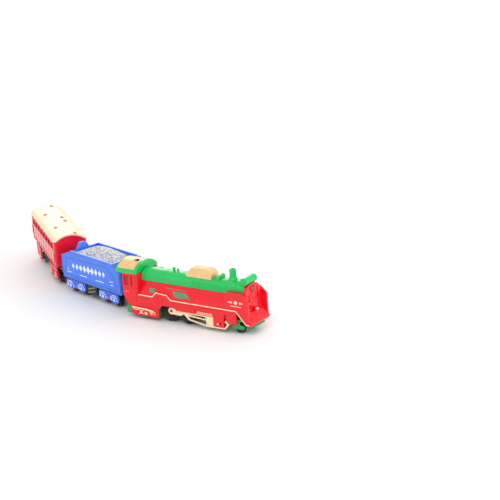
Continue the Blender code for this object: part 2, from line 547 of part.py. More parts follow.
RIDGE = [(-32.2, 44.6), (-26.0, 46.6), (-16.0, 50.4), (-7.0, 52.2), (1.0, 51.8), (10.0, 48.6), (20.0, 44.4), (28.0, 42.2), (36.7, 41.2)]
LEVELS = 6
verts, faces = [], []
for x, ridge in RIDGE:
    rim = min(45.2, ridge - 0.6)
    for k in range(LEVELS + 1):
        q = -1 + 2 * k / LEVELS
        verts.append((x, 16.4 * q, rim + (ridge - rim) * (1 - abs(q) ** 1.6)))
    verts += [(x, 16.4, 39.0), (x, -16.4, 39.0)]
ring = LEVELS + 3
for k in range(len(RIDGE) - 1):
    for i in range(ring):
        j = (i + 1) % ring
        faces.append([k * ring + i, k * ring + j, (k + 1) * ring + j, (k + 1) * ring + i])
faces += [list(range(ring))[::-1], [(len(RIDGE) - 1) * ring + i for i in range(ring)]]
node(solid(verts, faces), "coal_load", "coal", TENDER)

floor = union(
    prism(rounded_plan(-49.2, 49.4, 17.4, 2.0), "z", 14.9, 15.9),
    prism([(-12.0, 7.0), (-10.2, 4.8), (3.0, 4.8), (4.8, 7.0), (4.8, 15.4), (-12.0, 15.4)], "y", -15.9, 15.9),
    *[rod("z", 7.4, 15.4, 1.9, 12, x, 0) for x in TENDER_BOGIE_AT],
    *[rod("z", 5.7, 15.4, 1.8, 12, s * TENDER_PIN_X, 0) for s in (-1, 1)],
)
minus(floor, rod("z", 10, 30, 1.1, 10, 16.0, 0))
node(floor, "tender_floor", "black_plastic", TENDER)
screw("tender_screw", TENDER, 16.0, 0, 13.8, 24.0, 1.9)
bogie("tender_front", TENDER_BOGIE_AT[0], TENDER, "blue_body", 14.6)
bogie("tender_rear", TENDER_BOGIE_AT[1], TENDER, "blue_body", 14.6)

# ---- coach ----------------------------------------------------------------------------------------------------------

coach = prism(rounded_plan(-COACH_HALF_L, COACH_HALF_L, COACH_HALF_W, 2.0), "z", COACH_FLOOR_Z, COACH_EAVE_Z)
minus(coach, box(-62.0, 62.0, -16.05, 16.05, 10, 60))
for k in range(8):
    x = -49.0 + 14.0 * k
    minus(coach, box(x - 4.2, x + 4.2, -20, 20, 39.3, 45.6))

COACH_R = (18.0**2 + 6.9**2) / (2 * 6.9)
COACH_CZ = 56.4 - COACH_R
lunette = [(15.2, 48.0), *roof_arc(COACH_R - 2.0, COACH_CZ, 15.2, 12), (-15.2, 48.0)]
union(coach, *[prism(lunette, "x", *ys(s, 62.0, COACH_HALF_L)) for s in (-1, 1)])
node(coach, "coach_body", "red_body", COACH)

coach_roof = prism([(18.0, 49.5), *roof_arc(COACH_R, COACH_CZ, 17.95, 16), (-18.0, 49.5)], "x", -64.2, 64.2)
minus(coach_roof, prism([(15.6, 45.0), *roof_arc(COACH_R - 1.7, COACH_CZ, 15.6, 12), (-15.6, 45.0)], "x", -70, 70))
VENTS = [(-56.5, 5.2), (-27.5, -8.0), (-6.5, 6.5), (9.0, 6.7), (28.0, -7.8), (59.5, 6.6)]
for x, y in VENTS:
    base = COACH_CZ + math.sqrt(COACH_R**2 - y * y)
    union(coach_roof, box(x - 2.2, x + 2.2, y - 1.6, y + 1.6, base - 1.0, base + 1.1))
node(coach_roof, "coach_roof", "coach_roof", COACH)

coach_floor = union(
    prism(rounded_plan(-62.8, 62.8, 17.0, 2.0), "z", 19.9, 21.5),
    prism([(-16, 11.0), (-14, 9.2), (12, 9.2), (14, 11.0), (14, 20.4), (-16, 20.4)], "y", -14.6, 14.6),
    *[rod("z", 7.4, 20.4, 1.9, 12, x, 0) for x in COACH_BOGIE_AT],
    rod("z", 5.7, 20.4, 1.8, 12, COACH_PIN_X, 0),
    box(-61.8, 61.8, -15.7, 15.7, 20.8, 23.0),
)
node(coach_floor, "coach_floor", "black_plastic", COACH)
bogie("coach_front", COACH_BOGIE_AT[0], COACH, "red_body", 17.6)
bogie("coach_rear", COACH_BOGIE_AT[1], COACH, "red_body", 17.6)

# ---- drawbars -------------------------------------------------------------------------------------------------------


def at(vehicle_at, yaw, x, y=0.0):
    c, s = math.cos(math.radians(yaw)), math.sin(math.radians(yaw))
    return (vehicle_at[0] + c * x - s * y, vehicle_at[1] + s * x + c * y)


PIN_A = (LOCO_PIN_X, 0.0)
PIN_B = at(TENDER_AT, TENDER_YAW, TENDER_PIN_X)
PIN_C = at(TENDER_AT, TENDER_YAW, -TENDER_PIN_X)
PIN_D = at(COACH_AT, COACH_YAW, COACH_PIN_X)
drawbar("drawbar_front", PIN_A, PIN_B, 6.5, 7.9)
drawbar("drawbar_rear", PIN_C, PIN_D, 6.5, 7.9)
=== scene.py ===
"""The looks of the toy train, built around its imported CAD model: finer bodies, turned wheels, printed trim and the
procedural plastics. Lengths below are in millimetres in each vehicle's own frame and become metres of the shared frame.
"""

import math
import random

import bmesh
import bpy
from mathutils import Matrix, Vector


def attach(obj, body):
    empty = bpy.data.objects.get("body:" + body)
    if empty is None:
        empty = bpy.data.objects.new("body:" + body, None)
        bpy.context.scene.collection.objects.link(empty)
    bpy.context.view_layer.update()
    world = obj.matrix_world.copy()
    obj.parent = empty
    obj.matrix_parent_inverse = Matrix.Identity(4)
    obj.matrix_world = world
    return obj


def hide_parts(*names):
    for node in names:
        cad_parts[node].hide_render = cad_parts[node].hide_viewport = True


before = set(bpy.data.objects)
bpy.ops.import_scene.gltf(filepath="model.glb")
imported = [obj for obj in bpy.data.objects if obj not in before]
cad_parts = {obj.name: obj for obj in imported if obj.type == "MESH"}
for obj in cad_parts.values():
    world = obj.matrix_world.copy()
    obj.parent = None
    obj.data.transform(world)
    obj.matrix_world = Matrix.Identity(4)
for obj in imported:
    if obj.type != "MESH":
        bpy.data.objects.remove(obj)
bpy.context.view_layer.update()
rng = random.Random(11)

MM = 0.001
FLANGE = 1.0
HALF_W, SKIRT_Z, BELT_Z, BOX_TOP, GAP = 17.35, 14.0, 37.2, 40.4, 0.3
CAB_X0, CAB_X1, CAB_TOP = -75.0, -56.5, 45.0
BOILER_A, BOILER_B, BOILER_Z, BOILER_N = 9.7, 10.1, 38.5, 2.5
SMOKE_A, SMOKE_B, SMOKE_Z = 10.5, 8.7, 40.71
ROOF_R, ROOF_CZ = 24.87, 30.83
DRIVER_R, DRIVER_X, DRIVER_PITCH = 9.5, -23.0, 21.5
PIN_DX, PIN_DZ, PIN_R = 4.8, 2.7, 1.35
TRAIL_R, TRAIL_X, LEAD_R, LEAD_X = 4.0, -54.0, 4.5, 59.5
TENDER_AT, TENDER_YAW, TENDER_HALF_W, TENDER_BOGIE_AT = (-129.66, 22.86), -15.28, 18.35, (26.0, -31.0)
COACH_AT, COACH_YAW, COACH_HALF_W, COACH_BOGIE_AT = (-235.51, 77.17), -38.45, 17.55, (38.0, -40.0)
COACH_HALF_L, COACH_FLOOR_Z, COACH_EAVE_Z = 63.5, 21.8, 49.2
WHEEL_R, BOGIE_AXLE = 5.25, 9.5
BOGIE_YAWS = {"tender_front": 0.0, "tender_rear": 0.0, "coach_front": 3.0, "coach_rear": -3.0}


def placed(x, y, yaw, z=0.0):
    return Matrix.Translation((x, y, z)) @ Matrix.Rotation(math.radians(yaw), 4, "Z")


LOCO = placed(110.39, -56.594, 0.0, FLANGE)
TENDER = LOCO @ placed(*TENDER_AT, TENDER_YAW)
COACH = LOCO @ placed(*COACH_AT, COACH_YAW)
BOGIES = {
    "tender_front": TENDER @ placed(TENDER_BOGIE_AT[0], 0, BOGIE_YAWS["tender_front"]),
    "tender_rear": TENDER @ placed(TENDER_BOGIE_AT[1], 0, BOGIE_YAWS["tender_rear"]),
    "coach_front": COACH @ placed(COACH_BOGIE_AT[0], 0, BOGIE_YAWS["coach_front"]),
    "coach_rear": COACH @ placed(COACH_BOGIE_AT[1], 0, BOGIE_YAWS["coach_rear"]),
}


# ---- materials ------------------------------------------------------------------------------------------------------


def lin(c):
    return tuple((v / 255 / 12.92) if v / 255 <= 0.04045 else ((v / 255 + 0.055) / 1.055) ** 2.4 for v in c)


class Tree:
    """A small helper that adds shader nodes by name and links them."""

    def __init__(self, name):
        self.m = bpy.data.materials.new(name)
        self.m.use_nodes = True
        self.t = self.m.node_tree
        self.shader = self.t.nodes["Principled BSDF"]

    def add(self, kind, **values):
        n = self.t.nodes.new(kind)
        for k, v in values.items():
            if k in n.inputs:
                n.inputs[k].default_value = v
            else:
                setattr(n, k, v)
        return n

    def link(self, a, b):
        self.t.links.new(a, b)

    def coords(self, scale=(1, 1, 1)):
        c = self.add("ShaderNodeTexCoord")
        mapping = self.add("ShaderNodeMapping")
        mapping.inputs["Scale"].default_value = scale
        self.link(c.outputs["Object"], mapping.inputs["Vector"])
        return mapping.outputs["Vector"]

    def noise(self, scale, detail=3.0, rough=0.55, stretch=(1, 1, 1), distort=0.0):
        n = self.add("ShaderNodeTexNoise", Scale=scale, Detail=detail, Roughness=rough, Distortion=distort)
        self.link(self.coords(stretch), n.inputs["Vector"])
        return n.outputs["Fac"]

    def ramp(self, fac, low, high, a=0.0, b=1.0):
        r = self.add("ShaderNodeMapRange")
        r.inputs["From Min"].default_value, r.inputs["From Max"].default_value = low, high
        r.inputs["To Min"].default_value, r.inputs["To Max"].default_value = a, b
        self.link(fac, r.inputs["Value"])
        return r.outputs["Result"]

    def times(self, a, b):
        n = self.add("ShaderNodeMath", operation="MULTIPLY")
        self.link(a, n.inputs[0])
        if isinstance(b, float):
            n.inputs[1].default_value = b
        else:
            self.link(b, n.inputs[1])
        return n.outputs[0]

    def plus(self, a, b):
        n = self.add("ShaderNodeMath", operation="ADD")
        n.use_clamp = True
        self.link(a, n.inputs[0])
        self.link(b, n.inputs[1])
        return n.outputs[0]

    def mix(self, fac, a, b, blend="MIX"):
        n = self.add("ShaderNodeMix", data_type="RGBA", blend_type=blend)
        self.link(fac, n.inputs[0]) if not isinstance(fac, float) else setattr(n.inputs[0], "default_value", fac)
        for socket, value in ((n.inputs[6], a), (n.inputs[7], b)):
            if isinstance(value, tuple):
                socket.default_value = (*value[:3], 1.0)
            else:
                self.link(value, socket)
        return n.outputs[2]

    def edges(self):
        """(worn convex edges, painted shade in hollows), both from the curvature of the mesh."""
        g = self.add("ShaderNodeNewGeometry")
        return self.ramp(g.outputs["Pointiness"], 0.515, 0.60), self.ramp(g.outputs["Pointiness"], 0.485, 0.42)

    def bump(self, heights, distance=0.0001):
        """heights: list of (socket, strength)."""
        last = None
        for height, strength in heights:
            b = self.add("ShaderNodeBump")
            b.inputs["Strength"].default_value = strength
            b.inputs["Distance"].default_value = distance
            self.link(height, b.inputs["Height"])
            if last:
                self.link(last, b.inputs["Normal"])
            last = b.outputs["Normal"]
        self.link(last, self.shader.inputs["Normal"])


def plastic(name, base, shade, light, rough=0.24, spread=0.07, coat=0.35, dust=0.10, peel=0.10, metallic=0.0, flake=0.0, specular=0.4, sss=0.0):
    """Moulded or lacquered plastic: cloudy colour, fine rub marks, paler worn edges, painted shade in the hollows and
    dust low down.
    """
    t = Tree(name)
    base, shade, light = lin(base), lin(shade), lin(light)
    cloud = t.noise(38.0, 4.0, 0.6)
    fine = t.noise(420.0, 3.0, 0.6)
    colour = t.mix(t.ramp(cloud, 0.35, 0.68, 0.0, 0.30), base, shade)
    colour = t.mix(t.ramp(fine, 0.52, 0.80, 0.0, 0.09), colour, light)
    if flake:
        sparkle = t.add("ShaderNodeTexVoronoi", Scale=5200.0)
        t.link(t.coords(), sparkle.inputs["Vector"])
        colour = t.mix(t.ramp(sparkle.outputs["Color"], 0.62, 0.98, 0.0, flake), colour, light)
    rub = t.noise(90.0, 5.0, 0.65, (0.35, 9.0, 6.0), 0.4)
    rub_lines = t.ramp(rub, 0.665, 0.70)
    rub_area = t.ramp(t.noise(22.0, 2.0), 0.50, 0.66)
    marks = t.times(rub_lines, rub_area)
    colour = t.mix(t.times(marks, 0.16), colour, light)
    worn, hollow_shade = t.edges()
    broken = t.ramp(t.noise(260.0, 4.0, 0.7), 0.36, 0.62)
    colour = t.mix(t.times(t.times(worn, broken), 0.26), colour, light)
    # painted shade: hollows darkened towards a deep shade colour
    colour = t.mix(t.times(hollow_shade, 0.30), colour, tuple(0.4 * c for c in shade))
    place = t.add("ShaderNodeTexCoord")
    xyz = t.add("ShaderNodeSeparateXYZ")
    t.link(place.outputs["Object"], xyz.inputs[0])
    low = t.times(t.ramp(xyz.outputs["Z"], 0.020, 0.002), t.ramp(t.noise(160.0, 5.0, 0.7), 0.42, 0.75))
    dirt = t.times(low, dust)
    colour = t.mix(dirt, colour, lin((150, 142, 132)))
    t.link(colour, t.shader.inputs["Base Color"])
    r = t.ramp(t.noise(55.0, 4.0, 0.6), 0.3, 0.75, rough - spread * 0.5, rough + spread)
    r = t.plus(r, t.times(marks, 0.16))
    r = t.plus(r, t.times(low, 0.20))
    t.link(r, t.shader.inputs["Roughness"])
    t.shader.inputs["Metallic"].default_value = metallic
    t.shader.inputs["Specular IOR Level"].default_value = specular
    t.shader.inputs["Coat Weight"].default_value = coat
    t.shader.inputs["Coat Roughness"].default_value = 0.12
    if sss:
        t.shader.inputs["Subsurface Weight"].default_value = sss
        t.shader.inputs["Subsurface Radius"].default_value = (0.0012, 0.0004, 0.0004)
        t.shader.inputs["Subsurface Scale"].default_value = 1.0
    t.bump([(t.noise(900.0, 2.0, 0.5), peel), (t.noise(5200.0, 2.0, 0.6), peel * 0.5), (marks, 0.12)])
    return t.m


def coal_material():
    t = Tree("coal_look")
    cells = t.add("ShaderNodeTexVoronoi", Scale=1150.0, Randomness=1.0)
    t.link(t.coords(), cells.inputs["Vector"])
    tone = t.add("ShaderNodeSeparateColor")
    t.link(cells.outputs["Color"], tone.inputs[0])
    colour = t.mix(t.ramp(tone.outputs["Red"], 0.15, 0.95), lin((142, 142, 152)), lin((236, 236, 240)))
    colour = t.mix(t.ramp(tone.outputs["Green"], 0.80, 0.96, 0.0, 0.85), colour, lin((98, 98, 112)))
    colour = t.mix(t.ramp(tone.outputs["Blue"], 0.86, 0.97, 0.0, 0.55), colour, lin((198, 190, 222)))
    colour = t.mix(t.ramp(t.noise(2600.0, 3.0), 0.55, 0.8, 0.0, 0.5), colour, lin((250, 250, 252)))
    worn, hollow_shade = t.edges()
    # painted shade: crevices between the lumps darkened
    colour = t.mix(t.times(hollow_shade, 0.55), colour, lin((90, 90, 104)))
    t.link(colour, t.shader.inputs["Base Color"])
    t.link(t.ramp(tone.outputs["Blue"], 0.0, 1.0, 0.30, 0.62), t.shader.inputs["Roughness"])
    t.shader.inputs["Metallic"].default_value = 0.15
    t.shader.inputs["Coat Weight"].default_value = 0.15
    t.bump([(cells.outputs["Distance"], 0.55), (t.noise(3000.0, 3.0), 0.3)], 0.0006)
    return t.m


def metal(name, base, dark, rough, stretch=(1, 30, 1)):
    t = Tree(name)
    brushed = t.noise(260.0, 4.0, 0.7, stretch)
    colour = t.mix(t.ramp(brushed, 0.3, 0.75, 0.0, 0.6), lin(base), lin(dark))
    worn, hollow_shade = t.edges()
    # painted shade: hollows darkened towards near black
    colour = t.mix(t.times(hollow_shade, 0.6), colour, tuple(0.2 * c for c in lin(dark)))
    t.link(colour, t.shader.inputs["Base Color"])
    t.link(t.ramp(brushed, 0.3, 0.7, rough - 0.08, rough + 0.12), t.shader.inputs["Roughness"])
    t.shader.inputs["Metallic"].default_value = 1.0
    t.bump([(brushed, 0.15)])
    return t.m


def rubber():
    t = Tree("tyre_look")
    colour = t.mix(t.ramp(t.noise(180.0, 4.0), 0.4, 0.7), lin((24, 24, 25)), lin((40, 39, 38)))
    colour = t.mix(t.ramp(t.noise(700.0, 4.0), 0.6, 0.8, 0.0, 0.5), colour, lin((92, 88, 82)))
    t.link(colour, t.shader.inputs["Base Color"])
    t.link(t.ramp(t.noise(300.0, 3.0), 0.3, 0.7, 0.72, 0.92), t.shader.inputs["Roughness"])
    t.bump([(t.noise(2400.0, 3.0), 0.5), (t.noise(500.0, 2.0, 0.5, (1, 0.1, 1)), 0.25)])
    return t.m


def lens_material():
    t = Tree("lens_look")
    colour = t.mix(t.ramp(t.noise(500.0, 3.0), 0.35, 0.7), lin((70, 165, 105)), lin((36, 120, 70)))
    t.link(colour, t.shader.inputs["Base Color"])
    t.link(t.ramp(t.noise(300.0, 2.0), 0.3, 0.7, 0.05, 0.14), t.shader.inputs["Roughness"])
    t.shader.inputs["Transmission Weight"].default_value = 0.45
    t.shader.inputs["IOR"].default_value = 1.5
    rings = t.add("ShaderNodeTexWave", wave_type="RINGS", rings_direction="X", Scale=260.0)
    t.link(t.coords(), rings.inputs["Vector"])
    t.bump([(rings.outputs["Fac"], 0.3)])
    return t.m


def battery_material():
    t = Tree("battery_look")
    place = t.add("ShaderNodeTexCoord")
    xyz = t.add("ShaderNodeSeparateXYZ")
    t.link(place.outputs["Object"], xyz.inputs[0])
    band = t.ramp(xyz.outputs["X"], 0.1609, 0.1611)
    colour = t.mix(band, lin((34, 36, 42)), lin((196, 140, 60)))
    colour = t.mix(t.ramp(t.noise(60.0, 4.0), 0.5, 0.75, 0.0, 0.35), colour, lin((120, 120, 122)))
    t.link(colour, t.shader.inputs["Base Color"])
    t.link(t.ramp(t.noise(80.0, 3.0), 0.3, 0.7, 0.22, 0.38), t.shader.inputs["Roughness"])
    t.shader.inputs["Metallic"].default_value = 0.6
    t.bump([(t.noise(1800.0, 2.0), 0.1)])
    return t.m


LOOK = {
    "red_body": plastic("red_body_look", (233, 5, 26), (220, 0, 18), (252, 50, 66), 0.24, 0.06, 0.22, 0.05, sss=0.05),
    "green_top": plastic("green_top_look", (8, 188, 88), (4, 172, 76), (64, 216, 130), 0.24, 0.06, 0.30, 0.0),
    "gold_trim": plastic("gold_trim_look", (234, 190, 126), (218, 168, 100), (255, 234, 190), 0.30, 0.08, 0.25, 0.04, 0.08, 0.15, 0.4),
    "green_chassis": plastic("green_chassis_look", (8, 160, 76), (4, 134, 58), (88, 208, 138), 0.34, 0.08, 0.15, 0.12),
    "blue_body": plastic("blue_body_look", (54, 118, 240), (34, 92, 224), (136, 184, 255), 0.24, 0.06, 0.25, 0.05),
    "coal": coal_material(),
    "coach_roof": plastic("coach_roof_look", (238, 212, 162), (222, 188, 130), (255, 244, 216), 0.28, 0.08, 0.30, 0.0, 0.06, 0.08, 0.4),
    "black_plastic": plastic("black_plastic_look", (20, 20, 23), (12, 12, 14), (78, 78, 84), 0.38, 0.14, 0.10, 0.22),
    "tyre": rubber(),
    "lens": lens_material(),
    # white caps, and the painted highlight of the front hook pin
    "white_plastic": plastic("white_plastic_and_pin_highlight_look", (240, 240, 236), (222, 222, 218), (255, 255, 255), 0.30, 0.08, 0.3, 0.10),
    "steel": metal("steel_look", (186, 188, 192), (128, 130, 134), 0.30),
    "brass": metal("brass_look", (212, 172, 92), (160, 120, 56), 0.28),
    "battery": battery_material(),
    "gear_white": plastic("gear_white_look", (232, 229, 218), (214, 210, 198), (255, 255, 250), 0.36, 0.10, 0.1, 0.1),
    "cream_print": plastic("cream_print_look", (255, 232, 190), (250, 214, 164), (255, 248, 230), 0.34, 0.08, 0.15, 0.04, 0.05, 0.0, 0.3),
    "cream_rod": plastic("cream_rod_look", (250, 226, 184), (238, 204, 156), (255, 246, 224), 0.30, 0.08, 0.25, 0.04, 0.05, 0.08, 0.3),
    "pink_print": plastic("pink_print_look", (255, 196, 196), (250, 158, 162), (255, 232, 230), 0.34, 0.08, 0.2, 0.04),
    "white_print": plastic("white_print_look", (232, 240, 253), (210, 222, 246), (255, 255, 255), 0.34, 0.08, 0.2, 0.04),
    "line_print": plastic("line_print_look", (24, 100, 150), (14, 80, 132), (110, 170, 200), 0.34, 0.08, 0.2, 0.04),
    # painted reflection: olive colour of the glint streaks on the tender tank
    "tank_glint_olive": plastic("tank_glint_olive_look", (176, 168, 92), (120, 112, 58), (214, 206, 140), 0.34, 0.08, 0.2, 0.1),
    "inset": plastic("inset_look", (84, 140, 104), (58, 112, 82), (140, 186, 156), 0.30, 0.1, 0.3, 0.0),
    # painted shade: the darker red stands for the shade inside the window recesses
    "window_shade_red": plastic("window_shade_red_look", (164, 0, 12), (138, 0, 8), (206, 22, 40), 0.30, 0.08, 0.15, 0.0),
    "vent_gold": plastic("vent_gold_look", (190, 148, 92), (158, 112, 60), (240, 204, 148), 0.32, 0.08, 0.25, 0.0, 0.08, 0.15, 0.3),
}


# ---- solids ---------------------------------------------------------------------------------------------------------


def solid(verts, faces):
    """A scratch object holding one closed mesh, in millimetres, with its faces turned outwards."""
    mesh = bpy.data.meshes.new("solid")
    mesh.from_pydata([tuple(v) for v in verts], [], faces)
    mesh.update()
    volume = 0.0
    for poly in mesh.polygons:
        p = [mesh.vertices[i].co for i in poly.vertices]
        for a, b in zip(p[1:-1], p[2:]):
            volume += p[0].dot(a.cross(b))
    if volume < 0:
        mesh.flip_normals()
    obj = bpy.data.objects.new("solid", mesh)
    bpy.context.scene.collection.objects.link(obj)
    return obj


def on_axis(axis, t, u, v):
    return {"x": (t, u, v), "y": (u, t, v), "z": (u, v, t)}[axis]


def prism(outline, axis, low, high):
    n = len(outline)
    verts = [on_axis(axis, t, u, v) for t in (low, high) for u, v in outline]
    faces = [list(range(n)), list(range(2 * n - 1, n - 1, -1))]
    faces += [[i, (i + 1) % n, n + (i + 1) % n, n + i][::-1] for i in range(n)]
    return solid(verts, faces)


def box(x0, x1, y0, y1, z0, z1):
    return prism([(x0, y0), (x1, y0), (x1, y1), (x0, y1)], "z", z0, z1)


def circle(r, n, cu=0.0, cv=0.0, phase=0.5):
    return [(cu + r * math.cos(2 * math.pi * (i + phase) / n), cv + r * math.sin(2 * math.pi * (i + phase) / n)) for i in range(n)]


def rod(axis, low, high, r, n=24, cu=0.0, cv=0.0):
    return prism(circle(r, n, cu, cv), axis, low, high)


def turned(profile, axis, n, cu=0.0, cv=0.0, phase=0.5):
    """A turned solid: the profile is (distance along the axis, radius), from end to end."""
    verts, faces = [], []
    for t, r in profile:
        verts += [on_axis(axis, t, u, v) for u, v in circle(r, n, cu, cv, phase)]
    for k in range(len(profile) - 1):
        for i in range(n):
            j = (i + 1) % n
            faces.append([k * n + i, k * n + j, (k + 1) * n + j, (k + 1) * n + i])
    faces.append(list(range(n))[::-1])
    last = (len(profile) - 1) * n
    faces.append(list(range(last, last + n)))
    return solid(verts, faces)


def combine(target, tool, operation):
    cut = target.modifiers.new("shape", "BOOLEAN")
    cut.operation = operation
    cut.solver = "EXACT"
    cut.object = tool
    graph = bpy.context.evaluated_depsgraph_get()
    result = bpy.data.meshes.new_from_object(target.evaluated_get(graph))
    target.modifiers.clear()
    target.data = result
    bpy.data.objects.remove(tool, do_unlink=True)
    return target


def union(*objs):
    first = objs[0]
    for other in objs[1:]:
        combine(first, other, "UNION")
    return first


def minus(target, *tools):
    """Cuts the tools one after another; they may overlap one another."""
    for tool in tools:
        combine(target, tool, "DIFFERENCE")
    return target


def joined(objs):
    """One object holding the meshes of all of them, side by side."""
    whole = bmesh.new()
    for o in objs:
        whole.from_mesh(o.data)
        bpy.data.objects.remove(o, do_unlink=True)
    mesh = bpy.data.meshes.new("joined")
    whole.to_mesh(mesh)
    whole.free()
    obj = bpy.data.objects.new("joined", mesh)
    bpy.context.scene.collection.objects.link(obj)
    return obj


def moved(obj, matrix):
    obj.data.transform(matrix)
    return obj


def copied(obj, matrix):
    other = bpy.data.objects.new("copy", obj.data.copy())
    bpy.context.scene.collection.objects.link(other)
    other.data.transform(matrix)
    if matrix.determinant() < 0:
        other.data.flip_normals()
    return other


FLIP_Y = Matrix.Scale(-1, 4, (0, 1, 0))


def both_sides(obj):
    """The piece and its mirror image across the vehicle's centre line."""
    return [obj, copied(obj, FLIP_Y)]


def rounded_plan(x0, x1, half_w, r, steps=8):
    points = []
    for cx, cy, start in ((x1 - r, half_w - r, 0), (x0 + r, half_w - r, 90), (x0 + r, r - half_w, 180), (x1 - r, r - half_w, 270)):
        for i in range(steps + 1):
            t = math.radians(start + 90 * i / steps)
            points.append((cx + r * math.cos(t), cy + r * math.sin(t)))
    return points


def rounded(x0, x1, z0, z1, r, steps=4):
    """(u, v) of a rectangle with rounded corners."""
    points = []
    for cx, cz, start in ((x1 - r, z1 - r, 0), (x0 + r, z1 - r, 90), (x0 + r, z0 + r, 180), (x1 - r, z0 + r, 270)):
        for i in range(steps + 1):
            t = math.radians(start + 90 * i / steps)
            points.append((cx + r * math.cos(t), cz + r * math.sin(t)))
    return points


def ys(s, near, far):
    return (near, far) if s > 0 else (-far, -near)


def arch(a, b, bottom, steps=40, cz=BOILER_Z, n=BOILER_N):
    points = [(a, bottom)]
    for i in range(steps + 1):
        t = math.pi * i / steps
        c, s = math.cos(t), math.sin(t)
        points.append((math.copysign(abs(c) ** (2 / n), c) * a, cz + abs(s) ** (2 / n) * b))
    points.append((-a, bottom))
    return points


def roof_arc(r, cz, half, steps):
    top = math.asin(half / r)
    return [(r * math.sin(top * (1 - 2 * i / steps)), cz + r * math.cos(top * (1 - 2 * i / steps))) for i in range(steps + 1)]


def stroke(points, width, axis, low, high, closed=False):
    """A flat line of even width along the points (u, v), as a slab from low to high on the axis."""
    n = len(points)
    left, right = [], []
    for i, (u, v) in enumerate(points):
        before = points[i - 1] if (i or closed) else None
        after = points[(i + 1) % n] if (i < n - 1 or closed) else None
        normals = []
        for a, b in ((before, (u, v)), ((u, v), after)):
            if a is not None and b is not None:
                du, dv = b[0] - a[0], b[1] - a[1]
                length = math.hypot(du, dv)
                normals.append((-dv / length, du / length))
        mu, mv = sum(x[0] for x in normals) / len(normals), sum(x[1] for x in normals) / len(normals)
        size = mu * mu + mv * mv
        mu, mv = mu / size, mv / size
        left.append((u + mu * width / 2, v + mv * width / 2))
        right.append((u - mu * width / 2, v - mv * width / 2))
    if not closed:
        return prism(left + right[::-1], axis, low, high)
    verts = [on_axis(axis, t, *p) for t in (low, high) for ring in (left, right) for p in ring]
    faces = []
    for i in range(n):
        j = (i + 1) % n
        faces += [[i, j, n + j, n + i], [2 * n + i, 3 * n + i, 3 * n + j, 2 * n + j], [i, 2 * n + i, 2 * n + j, j], [n + i, n + j, 3 * n + j, 3 * n + i]]
    return solid(verts, faces)


def finish_look(obj, name, look, body, nodes=(), at=LOCO, bevel=0.22, segments=2, smooth=32):
    """Puts a finished piece in the shared frame, gives it its look and its rounded edges, and hangs it on its body."""
    obj.data.transform(at)
    obj.data.transform(Matrix.Scale(MM, 4))
    obj.name = obj.data.name = name
    obj.data.materials.clear()
    obj.data.materials.append(LOOK[look])
    obj.data.shade_smooth()
    obj.data.set_sharp_from_angle(angle=math.radians(smooth))
    if bevel:
        b = obj.modifiers.new("rounded edges", "BEVEL")
        b.width, b.segments, b.limit_method, b.angle_limit = bevel * MM, segments, "ANGLE", math.radians(smooth)
        b.use_clamp_overlap = True
        b.harden_normals = True
        b.miter_outer = "MITER_ARC"
    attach(obj, body)
    if nodes:
        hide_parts(*nodes)
    return obj


# ---- wheels ---------------------------------------------------------------------------------------------------------


def wheel_profile(r, axle_end, axle_r, dish, groove=False):
    """(|y|, radius) of one wheel from the axle's end inwards: axle stub, hub, dished face, rim, tread and flange."""
    half = [(axle_end, axle_r * 0.55), (axle_end - 0.25, axle_r), (12.25, axle_r), (12.2, axle_r + 0.9), (12.0, axle_r + 1.1)]
    half += [(12.0 - dish, axle_r + 1.25), (12.0 - dish, r - 1.15), (12.0, r - 0.95), (12.0, r - 0.18), (11.85, r)]
    if groove:
        half += [(11.6, r), (11.6, r - 0.9), (9.6, r - 0.9), (9.6, r)]
    half += [(9.15, r + 0.02), (8.95, r + 0.25), (8.85, r + 0.72), (8.7, r + 0.94), (8.5, r + FLANGE), (8.25, r + 0.9), (8.05, r + 0.6), (8.0, r - 0.8), (8.6, r - 1.2), (8.6, axle_r + 1.4), (8.0, axle_r + 1.2), (7.9, axle_r)]
    return half


def axle_set(name, body, x, r, axle_end, at, axle_r=0.9, dish=0.7):
    half = wheel_profile(r, axle_end, axle_r, dish)
    whole = turned([(-t, q) for t, q in half] + [(t, q) for t, q in half[::-1]], "y", 56, x, r, 0.0)
    spokes = []
    for k in range(9):
        a = math.radians(40 * k + 7)
        c, s = math.cos(a), math.sin(a)
        r0, r1, w0, w1 = axle_r + 0.8, r - 0.95, 0.50, 0.34
        quad = [(x + r0 * c - w0 * s, r + r0 * s + w0 * c), (x + r1 * c - w1 * s, r + r1 * s + w1 * c), (x + r1 * c + w1 * s, r + r1 * s - w1 * c), (x + r0 * c + w0 * s, r + r0 * s - w0 * c)]
        spokes += [prism(quad, "y", 11.0, 11.82), prism(quad, "y", -11.82, -11.0)]
    finish_look(joined([whole, *spokes]), name + "_look", "black_plastic", body, [name], at, 0.08, 1)


